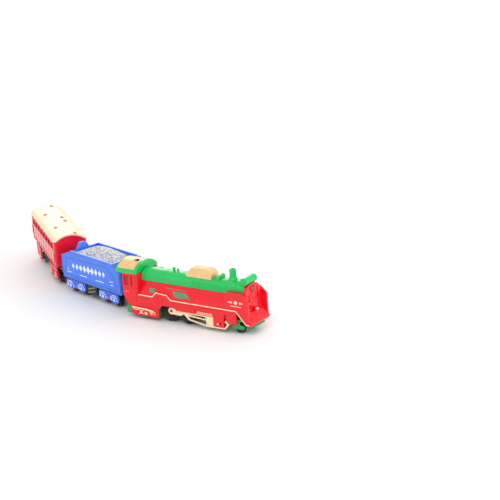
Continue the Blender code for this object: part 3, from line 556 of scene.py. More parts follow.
def driver_set(name, body, x, pulled):
    half = wheel_profile(DRIVER_R, 12.6, 1.0, 0.9, pulled)
    whole = turned([(-t, q) for t, q in half] + [(t, q) for t, q in half[::-1]], "y", 72, x, DRIVER_R, 0.0)
    extra = []
    for s in (-1, 1):
        k = {-1: 1, 1: -1}[s]
        cx, cz = x + k * PIN_DX, DRIVER_R + k * PIN_DZ
        pin_at = math.atan2(k * PIN_DZ, k * PIN_DX)
        for i in range(14):
            a = pin_at + math.radians(360 * i / 14)
            c, d = math.cos(a), math.sin(a)
            r0, r1, w0, w1 = 1.7, DRIVER_R - 0.95, 0.62, 0.42
            quad = [(x + r0 * c - w0 * d, DRIVER_R + r0 * d + w0 * c), (x + r1 * c - w1 * d, DRIVER_R + r1 * d + w1 * c), (x + r1 * c + w1 * d, DRIVER_R + r1 * d - w1 * c), (x + r0 * c + w0 * d, DRIVER_R + r0 * d - w0 * c)]
            extra.append(prism(quad, "y", *ys(s, 10.9, 11.85)))
        away = pin_at + math.pi
        weight = []
        for i in range(13):
            a = away + math.radians(-52 + 104 * i / 12)
            weight.append((x + (DRIVER_R - 1.05) * math.cos(a), DRIVER_R + (DRIVER_R - 1.05) * math.sin(a)))
        for i in range(9):
            a = away + math.radians(44 - 88 * i / 8)
            weight.append((x + 5.4 * math.cos(a), DRIVER_R + 5.4 * math.sin(a)))
        extra.append(prism(weight, "y", *ys(s, 10.9, 11.95)))
        extra.append(turned([(s * 11.0, 2.5), (s * 13.9, 2.35), (s * 14.2, 2.1)], "y", 28, cx, cz))
        extra.append(turned([(s * 12.0, PIN_R), (s * 15.85, PIN_R), (s * 16.0, PIN_R - 0.25)], "y", 28, cx, cz))
    finish_look(joined([whole, *extra]), name + "_look", "black_plastic", body, [name], LOCO, 0.10, 2)


driver_set("driver_wheelset_rear", "rear_driver", DRIVER_X, True)
driver_set("driver_wheelset_front", "front_driver", DRIVER_X + DRIVER_PITCH, False)
axle_set("trailing_wheelset", "trailing_wheels", TRAIL_X, TRAIL_R, 15.7, LOCO)
axle_set("leading_wheelset", "leading_wheels", LEAD_X, LEAD_R, 12.2, LOCO)
for bogie_name, where in BOGIES.items():
    for k, x in ((1, BOGIE_AXLE), (2, -BOGIE_AXLE)):
        axle_set(f"{bogie_name}_wheelset_{k}", f"{bogie_name}_axle_{k}", x, WHEEL_R, 14.7, where)
for s, side in ((-1, "left"), (1, "right")):
    ring = [(9.9, 9.0), (9.9, 9.35), (10.05, 9.5), (10.45, 9.5), (10.6, 9.38), (10.75, 9.5), (11.15, 9.5), (11.3, 9.35), (11.3, 9.0)]
    verts, faces, n = [], [], 72
    for y, r in ring:
        verts += [(u, s * y, v) for u, v in circle(r, n, DRIVER_X, DRIVER_R, 0.0)]
    for k in range(len(ring)):
        m = (k + 1) % len(ring)
        faces += [[k * n + i, k * n + (i + 1) % n, m * n + (i + 1) % n, m * n + i] for i in range(n)]
    finish_look(solid(verts, faces), f"traction_tyre_{side}_look", "tyre", "rear_driver", [f"traction_tyre_{side}"], LOCO, 0, 2, 50)

# ---- locomotive: body shell -----------------------------------------------------------------------------------------

SIDE = [(HALF_W, 24.6), (14.7, 28.4), (11.7, 32.7), (9.7, BELT_Z)]


def flank_y(z):
    if z <= SIDE[0][1]:
        return HALF_W
    for (y0, z0), (y1, z1) in zip(SIDE, SIDE[1:]):
        if z <= z1:
            return y0 + (y1 - y0) * (z - z0) / (z1 - z0)
    return SIDE[-1][0]


def on_flank(outline, out=0.14, deep=0.5):
    """The outline (x, z) laid on the slanting flank as a skin that stands out by `out`."""
    levels = [12.0, *[z for _, z in SIDE], 38.0]
    skin = [(flank_y(z) + out, z) for z in levels] + [(flank_y(z) - deep, z) for z in levels[::-1]]
    return combine(prism(skin, "x", -80, 80), prism(outline, "y", 5, 25), "INTERSECT")


sides = [(HALF_W, SKIRT_Z - 1.5)] + SIDE + [(-y, z) for y, z in SIDE[::-1]] + [(-HALF_W, SKIRT_Z - 1.5)]
INNER = [(16.1, -6), (16.1, 24.0), (13.2, 27.9), (10.3, 32.1), (8.3, 35.7)]
inside = INNER + [(-y, z) for y, z in INNER[::-1]]
shell = prism(sides, "x", -58, 49)
union(
    shell,
    prism([(CAB_X0 - 0.2, 24.1), (-72.6, 16.5), (-72.6, 12.5), (CAB_X1, 12.5), (CAB_X1, CAB_TOP), (CAB_X0, CAB_TOP)], "y", -HALF_W + 0.001, HALF_W - 0.001),
    prism([(47.5, 23.0), (68.6, 23.0), (68.6, 39.0), (67.2, BOX_TOP), (47.5, BOX_TOP)], "y", -HALF_W, HALF_W),
)
HOUSING = [(-38.9, 24.3), (-34.3, 29.9), (-21.1, 28.8), (-17.2, 24.3)]
minus(
    shell,
    prism([(-73.0, 8), (-73.0, 16.4), (-71.0, 16.4), (-71.0, 8)], "y", -30, 30),
    prism(inside, "x", -56.3, 60),
    box(49.5, 66.4, -15.7, 15.7, -6, 38.9),
    box(-73.5, -58, -15.85, 15.85, -6, 60),
    prism([(-72, 8), (-72, 12.0), (-66.6, 12.0), (-66.6, 8)], "y", -30, 30),
    prism([(-31.5, 5), (-31.0, 13.4), (-28.0, 16.7), (-14.0, 16.7), (-11.0, SKIRT_Z), (48, SKIRT_Z), (48, 5)], "y", -30, 30),
)
PANEL = [(60.4, 23.4), (62, 26), (66, BOX_TOP), (67.2, BOX_TOP), (74.3, 34.0), (74.6, 12.6), (76.2, 11.3), (75.4, 10.4), (71.3, 10.4)]
pieces = []
for s in (-1, 1):
    pieces += [
        prism(PANEL, "y", *ys(s, 15.6, HALF_W)),
        union(box(48.6, 60.2, *ys(s, 15.9, HALF_W), 12.3, 24.5), box(50.2, 60.2, *ys(s, 15.9, HALF_W), 9.9, 12.6)),
        box(33.2, 45.2, *ys(s, 13.0, HALF_W), 4.5, 15.5),
        rod("z", 14.4, 39.5, 2.6, 24, 64.6, s * 13.4),
        rod("z", 11.2, 44.0, 2.6, 24, -62.0, s * 13.4),
        prism(HOUSING, "y", *ys(s, 13.9, HALF_W)),
    ]
pieces.append(box(66.6, 68.8, -16.0, 16.0, 20.8, 23.4))
pilot = prism([(67.5, 21.5), (69.4, 20.6), (75.4, 13.0), (76.2, 11.3), (75.6, 9.2), (73.6, 8.6), (70.0, 10.2), (67.5, 13.5)], "y", -16.4, 16.4)
union(shell, *pieces, pilot, prism(arch(12.6, 9.4, 30.0, n=2.3), "x", 66.2, 69.2), rod("x", 67.5, 72.5, 2.1, 24, 0, 22.8))
cuts = [
    prism(arch(9.3, 7.6, 30.5, n=2.3), "x", 68.5, 75),
    rod("x", 66.8, 80, 2.4, 32, 0, 43.1),
    rod("x", 68.0, 80, 1.2, 20, 0, 22.8),
    rod("z", 8, 30, 1.1, 16, 64.6, 13.4),
    rod("z", 8, 24, 1.1, 16, -62.0, -13.4),
]
for s in (-1, 1):
    far = s * 30
    for outline, depth in (
        (rounded(-73.0, -67.5, 33.0, 42.8, 0.5), 0.75),
        (rounded(-64.7, -62.4, 32.7, 42.4, 0.4), 0.75),
        ([(-58.9, 16), (-58.5, 16), (-58.5, 44.0), (-58.9, 44.0)], 0.35),
        ([(46.0, 12.6), (48.0, 12.6), (48.0, 18.0), (46.0, 18.0)], 1.2),
        (rounded(11.4, 12.7, 16.4, 18.2, 0.2, 2), 0.9),
        (circle(1.2, 24, 40.9, 8.0), 1.6),
        ([(-72.4, 30.2), (-58.9, 30.2), (-58.9, 30.5), (-72.4, 30.5)], 0.3),
        ([(-16.0, 21.9), (47.3, 21.6), (47.3, 21.3), (-16.0, 21.6)], 0.3),
        ([(-27.4, 18.0), (-27.0, 18.0), (-27.0, 27.9), (-27.4, 27.9)], 0.35),
        ([(-32.4, 18.0), (-32.0, 18.0), (-32.0, 28.4), (-32.4, 28.4)], 0.35),
        ([(-55.9, 15.0), (-40.6, 15.0), (-40.6, 15.35), (-55.9, 15.35)], 0.3),
        ([(-55.9, 21.4), (-40.6, 21.4), (-40.6, 21.7), (-55.9, 21.7)], 0.3),
    ):
        cuts.append(prism(outline, "y", *ys(s, HALF_W - depth, 30)))
minus(shell, *cuts)
finish_look(shell, "loco_shell_look", "red_body", "locomotive", ["loco_shell"], LOCO, 0.24, 2)

trim = []
for s in (-1, 1):
    for x0, x1, z0, z1 in ((-73.0, -67.5, 33.0, 42.8), (-64.7, -62.4, 32.7, 42.4)):
        trim.append(stroke(rounded(x0 - 0.3, x1 + 0.3, z0 - 0.3, z1 + 0.3, 0.7), 0.35, "y", *ys(s, 17.2, 17.45), True))
    # skirt block between the wheel arch and the cylinder, with its ribs
    trim.append(prism([(13.4, 14.1), (32.6, 14.1), (32.6, 20.6), (31.6, 21.0), (14.2, 21.0), (13.4, 20.4)], "y", *ys(s, 17.2, 17.62)))
    trim.append(box(50.0, 59.0, *ys(s, 17.2, 17.55), 13.4, 20.6))
    trim.append(rod("y", *ys(s, 17.2, 17.85), 1.25, 24, 38.3, 7.6))
    for x in (-54.6, -41.4, -14.2, 44.4, 50.9, 58.1):
        trim.append(turned([(s * 17.2, 0.42), (s * 17.5, 0.42), (s * 17.66, 0.22)], "y", 14, x, 19.0 if x < 0 else (19.2 if x > 45 else 12.9)))
    trim.append(box(-73.4, -57.0, *ys(s, 17.2, 17.6), 43.4, 44.1))
    trim.append(box(47.8, 66.4, *ys(s, 16.2, 17.2), 40.3, 40.75))
    for outline in (
        [(-56.0, 33.1), (-44.5, 33.1), (-44.5, 33.35), (-56.0, 33.35)],
        [(-56.0, 36.6), (47.0, 36.6), (47.0, 36.95), (-56.0, 36.95)],
        [(-18.0, 33.05), (47.0, 33.05), (47.0, 33.3), (-18.0, 33.3)],
    ):
        skin = on_flank(outline, 0.16)
        trim.append(skin)
        if s < 0:
            trim[-1].data.transform(FLIP_Y)
            trim[-1].data.flip_normals()
finish_look(joined(trim), "loco_shell_relief_look", "red_body", "locomotive", (), LOCO, 0.10, 2)

# smokebox door, lamp ring and pilot face
face = [
    turned([(68.4, 6.3), (68.75, 6.3), (68.95, 6.0), (69.0, 2.8), (69.15, 2.2), (69.2, 0.4)], "x", 56, 0, 33.6),
    stroke(circle(4.9, 48, 0, 33.6), 0.4, "x", 68.8, 69.2, True),
    box(68.7, 69.35, -6.6, -3.9, 33.3, 33.9),
    box(68.7, 69.35, -6.6, -3.9, 30.9, 31.5),
    box(68.7, 69.35, -6.6, -3.9, 35.7, 36.3),
    rod("x", 68.8, 69.6, 0.8, 20, 0, 33.6),
    box(69.2, 69.7, -0.25, 0.25, 31.8, 33.8),
]
ring = [(67.6, 3.4), (69.4, 3.35), (69.6, 3.1), (69.6, 2.65), (67.6, 2.5)]
verts, faces, n = [], [], 40
for x, r in ring:
    verts += [(x, u, v) for u, v in circle(r, n, 0, 43.1)]
for k in range(len(ring)):
    m = (k + 1) % len(ring)
    faces += [[k * n + i, k * n + (i + 1) % n, m * n + (i + 1) % n, m * n + i] for i in range(n)]
face.append(solid(verts, faces))
for k in range(12):
    a = math.radians(15 + 30 * k)
    face.append(turned([(68.6, 0.35), (69.15, 0.35), (69.3, 0.18)], "x", 10, 5.6 * math.cos(a), 33.6 + 5.6 * math.sin(a)))
finish_look(joined(face), "smokebox_door_look", "red_body", "locomotive", (), LOCO, 0.10, 2)

plate = [prism([(69.75, 20.75), (75.1, 13.9), (75.35, 14.1), (70.0, 20.95)], "y", -12.6, 12.6)]
for y in (-9.0, -4.5, 0, 4.5, 9.0):
    plate.append(prism([(70.6, 20.0), (74.7, 14.75), (74.95, 14.95), (70.85, 20.2)], "y", y - 0.3, y + 0.3))
plate.append(box(75.2, 76.35, -15.6, 15.6, 10.9, 11.7))
finish_look(joined(plate), "pilot_plate_look", "red_body", "locomotive", (), LOCO, 0.10, 2)

# ---- locomotive: printed trim ---------------------------------------------------------------------------------------

LINE = [(-56.2, 24.5), (-39.4, 24.5), (-34.5, 29.3), (-21.3, 28.2), (-17.2, 23.7), (59.7, 23.4), (70.9, 10.9), (74.7, 11.2)]
cream = []
for s in (-1, 1):
    cream.append(stroke(LINE, 0.9, "y", *ys(s, 17.2, 17.5)))
    # plain ornament in place of the printed words: a lozenge between graded bars
    cream.append(prism([(60.3, 34.4), (62.8, 32.2), (60.3, 30.0), (57.8, 32.2)], "y", *ys(s, 17.2, 17.45)))
    for k in range(3):
        cream.append(box(54.9 - 1.9 * k, 56.0 - 1.9 * k, *ys(s, 17.2, 17.45), 30.9 + 0.35 * k, 33.5 - 0.35 * k))
        cream.append(box(64.6 + 1.5 * k, 65.5 + 1.5 * k, *ys(s, 17.2, 17.45), 30.9 + 0.35 * k, 33.5 - 0.35 * k))
    cream.append(box(54.0, 66.6, *ys(s, 17.2, 17.42), 28.1, 28.65))
    cream.append(box(13.6, 32.4, *ys(s, 17.55, 17.75), 14.7, 15.25))
    for k in range(9):
        x = 14.4 + 2.05 * k
        cream.append(box(x, x + 1.2, *ys(s, 17.55, 17.75), 15.9, 16.9))
    for x0, x1, y0, y1 in ((-72.4, -68.1, 25.9, 26.3),):
        cream.append(box(x0, x1, *ys(s, 17.2, 17.42), y0, y1))
finish_look(joined(cream), "loco_cream_print_look", "cream_print", "locomotive", (), LOCO, 0.05, 1)

insets = []
for outline in ([(-46.4, 31.9), (-37.8, 32.0), (-37.6, 28.9), (-38.6, 27.6), (-43.2, 27.4)], [(-19.0, 32.2), (-0.8, 31.8), (6.2, 27.4), (-11.6, 26.3)]):
    insets += both_sides(on_flank(outline, 0.10))
insets += both_sides(on_flank([(-27.0, 33.5), (-1.2, 33.0), (-1.2, 33.5), (-27.0, 34.0)], 0.10))
finish_look(joined(insets), "loco_inset_look", "inset", "locomotive", (), LOCO, 0.05, 1)
frames = []
for outline in ([(-46.4, 31.9), (-37.8, 32.0), (-37.6, 28.9), (-38.6, 27.6), (-43.2, 27.4)], [(-19.0, 32.2), (-0.8, 31.8), (6.2, 27.4), (-11.6, 26.3)]):
    levels = [12.0, *[z for _, z in SIDE], 38.0]
    skin = prism([(flank_y(z) + 0.3, z) for z in levels] + [(flank_y(z) - 0.5, z) for z in levels[::-1]], "x", -80, 80)
    frames += both_sides(combine(skin, stroke(outline, 0.5, "y", 5, 25, True), "INTERSECT"))
finish_look(joined(frames), "loco_inset_frame_look", "red_body", "locomotive", (), LOCO, 0.08, 2)

# painted shade: a dark red sheet in each closed window recess stands for the shade inside it
window_shade = []
for s in (-1, 1):
    for x0, x1, z0, z1 in ((-72.9, -67.6, 33.1, 42.7), (-64.6, -62.5, 32.8, 42.3)):
        window_shade.append(box(x0, x1, *ys(s, 16.4, 16.72), z0, z1))
finish_look(joined(window_shade), "cab_window_shade_look", "window_shade_red", "locomotive", (), LOCO, 0.05, 1)

white = []
for s in (-1, 1):
    white.append(turned([(s * 17.6, 0.95), (s * 17.95, 0.95), (s * 18.05, 0.7)], "y", 24, 38.3, 7.6))
finish_look(joined(white), "cylinder_cap_look", "white_plastic", "locomotive", (), LOCO, 0.05, 1)

# ---- locomotive: boiler top and fittings ----------------------------------------------------------------------------

top = prism(arch(BOILER_A, BOILER_B, BELT_Z + GAP), "x", -56.2, 47.2)
union(top, prism(arch(SMOKE_A, SMOKE_B, BOX_TOP + GAP, cz=SMOKE_Z), "x", 46.0, 65.9))
minus(
    top,
    prism(arch(BOILER_A - 1.3, BOILER_B - 1.3, BELT_Z - 2, 20), "x", -54.8, 45.5),
    prism(arch(SMOKE_A - 1.3, SMOKE_B - 1.3, BOX_TOP - 2, 20, cz=SMOKE_Z), "x", 45.0, 64.5),
)
union(
    top,
    turned([(-9.6, 3.0), (-9.4, 3.6), (-9.0, 3.9), (-6.9, 3.9), (-6.7, 3.65), (6.7, 3.65), (6.9, 3.9), (9.0, 3.9), (9.4, 3.6), (9.6, 3.0)], "y", 44, 65.4, 50.8),
    turned([(-5.6, 2.0), (-5.2, 2.5), (-4.2, 2.5), (-4.0, 2.2), (4.0, 2.2), (4.2, 2.5), (5.2, 2.5), (5.6, 2.0)], "y", 32, 32.6, 49.4),
    turned([(47.6, 1.9), (48.6, 1.8), (48.9, 1.4), (51.2, 1.4), (51.4, 1.6), (51.9, 1.5), (52.3, 0.9)], "z", 28, -22.6, 0),
    turned([(47.6, 1.6), (48.5, 1.5), (48.8, 1.1), (50.6, 1.1), (50.8, 1.3), (51.1, 1.2), (51.4, 0.7)], "z", 28, -17.8, 0),
)
minus(top, prism(arch(12.9, 9.7, 30.0, n=2.3), "x", 66.05, 75))
finish_look(top, "boiler_top_look", "green_top", "locomotive", ["boiler_top"], LOCO, 0.20, 2)

ribs = []
for x in (-55.4, -46.5, -30.5, -9.6, 44.6):
    band = prism(arch(BOILER_A + 0.16, BOILER_B + 0.16, BELT_Z + GAP + 0.1), "x", x - 0.55, x + 0.55)
    ribs.append(minus(band, prism(arch(BOILER_A - 0.4, BOILER_B - 0.4, BELT_Z - 2), "x", x - 3, x + 3)))
for k in range(17):
    x = 5.0 + 2.15 * k
    rib = prism(arch(BOILER_A + 0.34, BOILER_B + 0.28, BELT_Z + GAP + 0.5), "x", x - 0.34, x + 0.34)
    minus(rib, prism(arch(BOILER_A - 0.3, BOILER_B - 0.3, BELT_Z - 2), "x", x - 3, x + 3), box(x - 3, x + 3, -20, 20, 44.6, 60))
    ribs.append(rib)
for x in (50.4, 56.6):
    band = prism(arch(SMOKE_A + 0.18, SMOKE_B + 0.18, BOX_TOP + GAP + 0.1, cz=SMOKE_Z), "x", x - 0.5, x + 0.5)
    ribs.append(minus(band, prism(arch(SMOKE_A - 0.4, SMOKE_B - 0.4, BOX_TOP - 2, cz=SMOKE_Z), "x", x - 3, x + 3)))
for s in (-1, 1):
    # hand rail pillars and the two small lifting eyes by the cab
    for x in (-43.6, -40.6):
        ribs.append(turned([(44.4, 0.75), (47.6, 0.6), (48.0, 0.7), (48.5, 0.4)], "z", 16, x, s * 5.2))
    ribs.append(rod("x", -43.9, -40.3, 0.42, 14, s * 5.2, 47.7))
    ribs.append(box(-55.8, 46.9, *ys(s, BOILER_A - 0.6, BOILER_A + 0.22), BELT_Z + GAP + 0.05, BELT_Z + GAP + 0.75))
    for k in range(7):
        x = -52.0 + 16.2 * k
        ribs.append(turned([(s * (BOILER_A - 0.5), 0.36), (s * (BOILER_A + 0.30), 0.36), (s * (BOILER_A + 0.42), 0.2)], "y", 10, x, 40.3))
finish_look(joined(ribs), "boiler_ribs_look", "green_top", "locomotive", (), LOCO, 0.08, 2)

chimney = turned([(46.2, 5.3), (48.5, 5.1), (49.2, 4.8), (49.9, 4.3), (50.6, 3.9), (51.4, 3.55), (52.6, 3.3), (57.4, 3.3), (57.7, 3.5), (58.0, 3.62), (59.0, 3.66), (59.25, 3.5), (59.3, 3.2)], "z", 48, 47.6, 0)
minus(chimney, rod("z", 54.0, 70, 2.5, 40, 47.6, 0), prism(arch(SMOKE_A + 0.1, SMOKE_B + 0.1, 30, cz=SMOKE_Z), "x", 30, 60))
finish_look(chimney, "chimney_look", "green_top", "locomotive", ["chimney"], LOCO, 0.14, 2)

casing = prism([(-3.6, 44.5), (-3.6, 49.4), (-2.8, 50.7), (1.6, 55.8), (2.9, 56.5), (21.8, 56.5), (22.8, 56.0), (25.5, 52.9), (25.9, 51.9), (26.0, 44.5)], "y", -12, 12)
for s in (-1, 1):
    minus(casing, prism([(s * 6.7, 40), (s * 6.7, 49.8), (s * 6.45, 50.9), (s * 5.1, 55.4), (s * 4.4, 56.6), (s * 4.4, 60), (s * 14, 60), (s * 14, 40)], "x", -10, 35))
minus(
    casing,
    prism(arch(BOILER_A + 0.12, BOILER_B + 0.12, 30), "x", -10, 35),
    box(-10, 35, -12, 12, 40, 47.2),
    prism(rounded(4.2, 20.8, -2.9, 2.9, 0.6), "z", 56.15, 60),
    *[prism([(x, 40), (x + 0.45, 40), (x + 0.45, 60), (x, 60)], "y", *ys(s, 6.35, 12)) for s in (-1, 1) for x in (7.0, 14.6)],
)
parts = [casing, prism(rounded(6.2, 18.8, -1.6, 1.6, 0.5), "z", 56.0, 56.55)]
for x in (5.2, 19.8):
    for y in (-2.0, 2.0):
        parts.append(turned([(56.0, 0.55), (56.45, 0.55), (56.6, 0.3)], "z", 14, x, y))
finish_look(joined(parts), "dome_casing_look", "gold_trim", "locomotive", ["dome_casing"], LOCO, 0.22, 2)

roof = prism([(18.0, 45.3), (18.0, 48.2), *roof_arc(ROOF_R, ROOF_CZ, 17.4, 48), (-18.0, 48.2), (-18.0, 45.3)], "x", -82.4, -57.0)
minus(
    roof,
    prism([(16.4, 40.0), *roof_arc(ROOF_R - 2.7, ROOF_CZ, 16.4, 40), (-16.4, 40.0)], "x", -90, -50),
    prism([*roof_arc(ROOF_R - 1.3, ROOF_CZ, 16.6, 40), (-16.8, 62), (16.8, 62)], "x", -81.6, -60.2),
)
union(roof, prism([(16.8, 45.5), *roof_arc(ROOF_R - 2.3, ROOF_CZ, 16.8, 40), (-16.8, 45.5)], "x", -59.2, -57.3))
finish_look(roof, "cab_roof_frame_look", "green_top", "locomotive", ["cab_roof_frame"], LOCO, 0.22, 2)
panel = prism(roof_arc(ROOF_R - 0.1, ROOF_CZ, 16.25, 48) + roof_arc(ROOF_R - 1.0, ROOF_CZ, 16.1, 48)[::-1], "x", -81.3, -60.5)
minus(panel, prism(rounded(-68.0, -62.2, -5.8, -2.2, 0.4), "z", 50, 60))
details = [panel]
rim = stroke(rounded(-68.3, -61.9, -6.1, -1.9, 0.6), 0.4, "z", 52.0, 58.0, True)
details.append(combine(rim, prism(roof_arc(ROOF_R + 0.12, ROOF_CZ, 9, 16) + roof_arc(ROOF_R - 0.8, ROOF_CZ, 9, 16)[::-1], "x", -82, -60), "INTERSECT"))
for s in (-1, 1):
    for x0, x1 in ((-80.4, -71.4), (-70.4, -61.4)):
        panel_rim = stroke(rounded(x0, x1, 8.2, 14.8, 0.8), 0.35, "z", 40.0, 60.0, True)
        panel_rim.data.transform(Matrix.Scale(s, 4, (0, 1, 0)))
        if s < 0:
            panel_rim.data.flip_normals()
        details.append(combine(panel_rim, prism(roof_arc(ROOF_R + 0.12, ROOF_CZ, 16.2, 40) + roof_arc(ROOF_R - 0.8, ROOF_CZ, 16.1, 40)[::-1], "x", -82, -60), "INTERSECT"))
finish_look(joined(details), "cab_roof_panel_look", "gold_trim", "locomotive", ["cab_roof_panel"], LOCO, 0.12, 2)

knob = [box(-65.2, -62.5, -5.5, -2.5, 54.6, 55.7), prism([(-65.0, 55.4), (-62.7, 55.4), (-62.85, 56.3), (-63.1, 56.6), (-64.6, 56.6), (-64.85, 56.3)], "y", -5.1, -2.9)]
for k in range(4):
    x = -64.45 + 0.4 * k
    knob.append(box(x - 0.09, x + 0.09, -4.95, -3.05, 56.5, 56.72))
finish_look(joined(knob), "power_switch_slider_look", "black_plastic", "power_switch", ["power_switch_slider"], LOCO, 0.12, 2)

finish_look(turned([(67.1, 2.05), (69.0, 2.05), (69.35, 1.9), (69.6, 1.6), (69.8, 1.1), (69.9, 0.5)], "x", 40, 0, 43.1), "headlight_lens_look", "lens", "locomotive", ["headlight_lens"], LOCO, 0, 2, 45)
# painted highlight: the hook pin is made white all over to stand for the small white glint on its tip
finish_look(turned([(68.4, 0.85), (72.9, 0.85), (72.9, 1.05), (73.05, 1.15), (73.6, 1.15), (73.95, 1.0), (74.1, 0.6)], "x", 36, 0, 22.8), "front_hook_pin_look", "white_plastic", "locomotive", ["front_hook_pin"], LOCO, 0.08, 2)

# ---- locomotive: running gear ---------------------------------------------------------------------------------------

ROD = [(-18.2, 15.6), (-11.4, 15.0), (-3.0, 13.7), (3.3, 14.0), (3.3, 10.4), (-3.0, 11.2), (-4.6, 9.9), (-8.0, 8.5), (-13.5, 9.0), (-18.2, 8.8)]
for s, side in ((-1, "left"), (1, "right")):
    k = {-1: 1, 1: -1}[s]
    rear = (DRIVER_X + k * PIN_DX, DRIVER_R + k * PIN_DZ)
    dx, dz = rear[0] + 18.2, rear[1] - 12.2
    front = (rear[0] + DRIVER_PITCH, rear[1])
    whole = union(
        rod("y", *ys(s, 14.6, 15.8), 3.45, 48, *rear),
        prism([(x + dx, z + dz) for x, z in ROD], "y", *ys(s, 14.65, 15.75)),
        rod("y", *ys(s, 14.6, 15.8), 2.5, 40, *front),
    )
    minus(whole, rod("y", -20, 20, PIN_R + 0.15, 32, *rear), rod("y", -20, 20, PIN_R + 0.15, 32, *front))
    extra = [whole, stroke(circle(2.75, 48, *rear), 0.5, "y", *ys(s, 15.7, 16.0), True), stroke(circle(1.95, 40, *front), 0.4, "y", *ys(s, 15.7, 15.95), True)]
    extra.append(stroke([(x + dx, z + dz) for x, z in ((-14.2, 14.4), (-3.4, 12.8), (0.4, 12.7))], 0.5, "y", *ys(s, 15.65, 15.95)))
    extra.append(stroke([(x + dx, z + dz) for x, z in ((-14.0, 10.2), (-8.3, 9.8), (-5.0, 11.0), (-3.0, 12.2))], 0.4, "y", *ys(s, 15.65, 15.92)))
    finish_look(joined(extra), f"coupling_rod_{side}_look", "cream_rod", f"rod_{side}", [f"coupling_rod_{side}"], LOCO, 0.14, 2)
    head = turned([(s * 15.0, 1.45), (s * 16.05, 1.45), (s * 16.2, 1.25), (s * 16.25, 0.5)], "y", 28, *rear)
    finish_look(head, f"crank_pin_head_{side}_look", "black_plastic", f"rod_{side}", (), LOCO, 0.06, 1)

GUIDE = [(-1.8, 13.7), (32.7, 13.7), (32.7, 4.2), (45.6, 4.2), (49.2, 8.4), (46.3, 10.8), (47.1, 11.9), (51.0, 8.4), (46.4, 2.9), (24.0, 2.9), (3.4, 6.6), (-1.8, 11.8)]
SLOTS = ([(2.0, 12.75), (24.4, 12.5), (24.4, 10.1), (6.3, 11.6)], [(2.4, 10.5), (24.4, 9.0), (24.4, 4.1), (5.0, 7.5)])
for s, side in ((-1, "left"), (1, "right")):
    guide = prism(GUIDE, "y", *ys(s, 16.15, HALF_W + 0.15))
    minus(guide, *[prism(slot, "y", -20, 20) for slot in SLOTS])
    extra = [guide]
    extra.append(stroke([(25.4, 12.9), (31.9, 12.9), (31.9, 5.0), (25.4, 5.0)], 0.45, "y", *ys(s, 17.3, 17.72), True))
    extra.append(box(26.8, 30.6, *ys(s, 17.3, 17.78), 7.6, 10.4))
    for x, z in ((26.6, 12.0), (30.8, 12.0), (26.6, 5.9), (30.8, 5.9)):
        extra.append(turned([(s * 17.3, 0.42), (s * 17.6, 0.42), (s * 17.78, 0.2)], "y", 12, x, z))
    extra.append(stroke([(0.2, 13.2), (24.8, 13.1)], 0.3, "y", *ys(s, 17.3, 17.7)))
    finish_look(joined(extra), f"slide_guide_{side}_look", "cream_rod", "locomotive", [f"slide_guide_{side}"], LOCO, 0.12, 2)

trailing = union(
    box(-48.0, -46.2, -16.5, 16.5, 5.6, 9.1),
    *[prism([(-66.3, 5.0), (-63.5, 2.7), (-34.5, 2.7), (-32.3, 4.5), (-32.3, 12.2), (-66.3, 12.2)], "y", *ys(s, 16.05, HALF_W)) for s in (-1, 1)],
)
relief = [trailing]
for s in (-1, 1):
    relief.append(stroke([(-65.4, 11.4), (-65.4, 5.4), (-63.1, 3.5), (-34.9, 3.5), (-33.2, 4.9), (-33.2, 11.4)], 0.6, "y", *ys(s, 17.2, 17.6), True))
    relief.append(rod("y", *ys(s, 17.2, 17.75), 2.7, 32, TRAIL_X, 6.6))
    relief.append(prism([(-62.4, 8.3), (-58.0, 8.9), (-50.0, 8.9), (-45.6, 8.3), (-45.6, 7.5), (-62.4, 7.5)], "y", *ys(s, 17.2, 17.7)))
    for x in (-62.8, -40.6, -35.6):
        relief.append(turned([(s * 17.2, 0.5), (s * 17.6, 0.5), (s * 17.8, 0.25)], "y", 14, x, 5.2))
    relief.append(box(-43.4, -36.2, *ys(s, 17.2, 17.6), 5.4, 8.0))
finish_look(joined(relief), "trailing_frame_look", "red_body", "locomotive", ["trailing_frame"], LOCO, 0.14, 2)

gold = []
for s in (-1, 1):
    gold.append(stroke([(-64.8, 10.7), (-56.5, 10.3), (-47.6, 10.0), (-39.8, 9.0)], 1.4, "y", *ys(s, 17.2, 17.75)))
    gold.append(stroke([(-57.2, 10.2), (-54.0, 7.0), (-50.8, 10.0)], 0.7, "y", *ys(s, 17.6, 17.95)))
    gold.append(stroke([(-64.0, 8.9), (-60.4, 8.4), (-57.4, 9.2)], 0.6, "y", *ys(s, 17.5, 17.85)))
    gold.append(prism([(-50.0, 4.6), (-47.2, 4.4), (-46.6, 6.4), (-48.4, 7.6), (-50.4, 6.6)], "y", *ys(s, 17.2, 17.8)))
    gold.append(stroke([(-44.2, 8.6), (-41.6, 6.6), (-39.4, 8.2), (-36.4, 7.6)], 0.8, "y", *ys(s, 17.4, 17.85)))
    gold.append(stroke([(-57.0, 4.9), (-53.6, 5.5), (-51.4, 4.9)], 0.7, "y", *ys(s, 17.5, 17.85)))
    gold.append(rod("y", *ys(s, 17.6, 18.0), 1.35, 28, TRAIL_X, 6.6))
    gold.append(rod("y", *ys(s, 17.2, 17.85), 1.0, 24, -64.2, 10.7))
    gold.append(rod("y", *ys(s, 17.2, 17.85), 1.15, 24, -47.6, 10.0))
    gold.append(stroke(rounded(-42.8, -36.8, 5.7, 7.7, 0.5), 0.45, "y", *ys(s, 17.5, 17.85), True))
    gold.append(rod("y", *ys(s, 17.2, 17.85), 0.8, 20, -39.8, 9.0))
finish_look(joined(gold), "trailing_linkage_look", "cream_rod", "locomotive", (), LOCO, 0.08, 2)

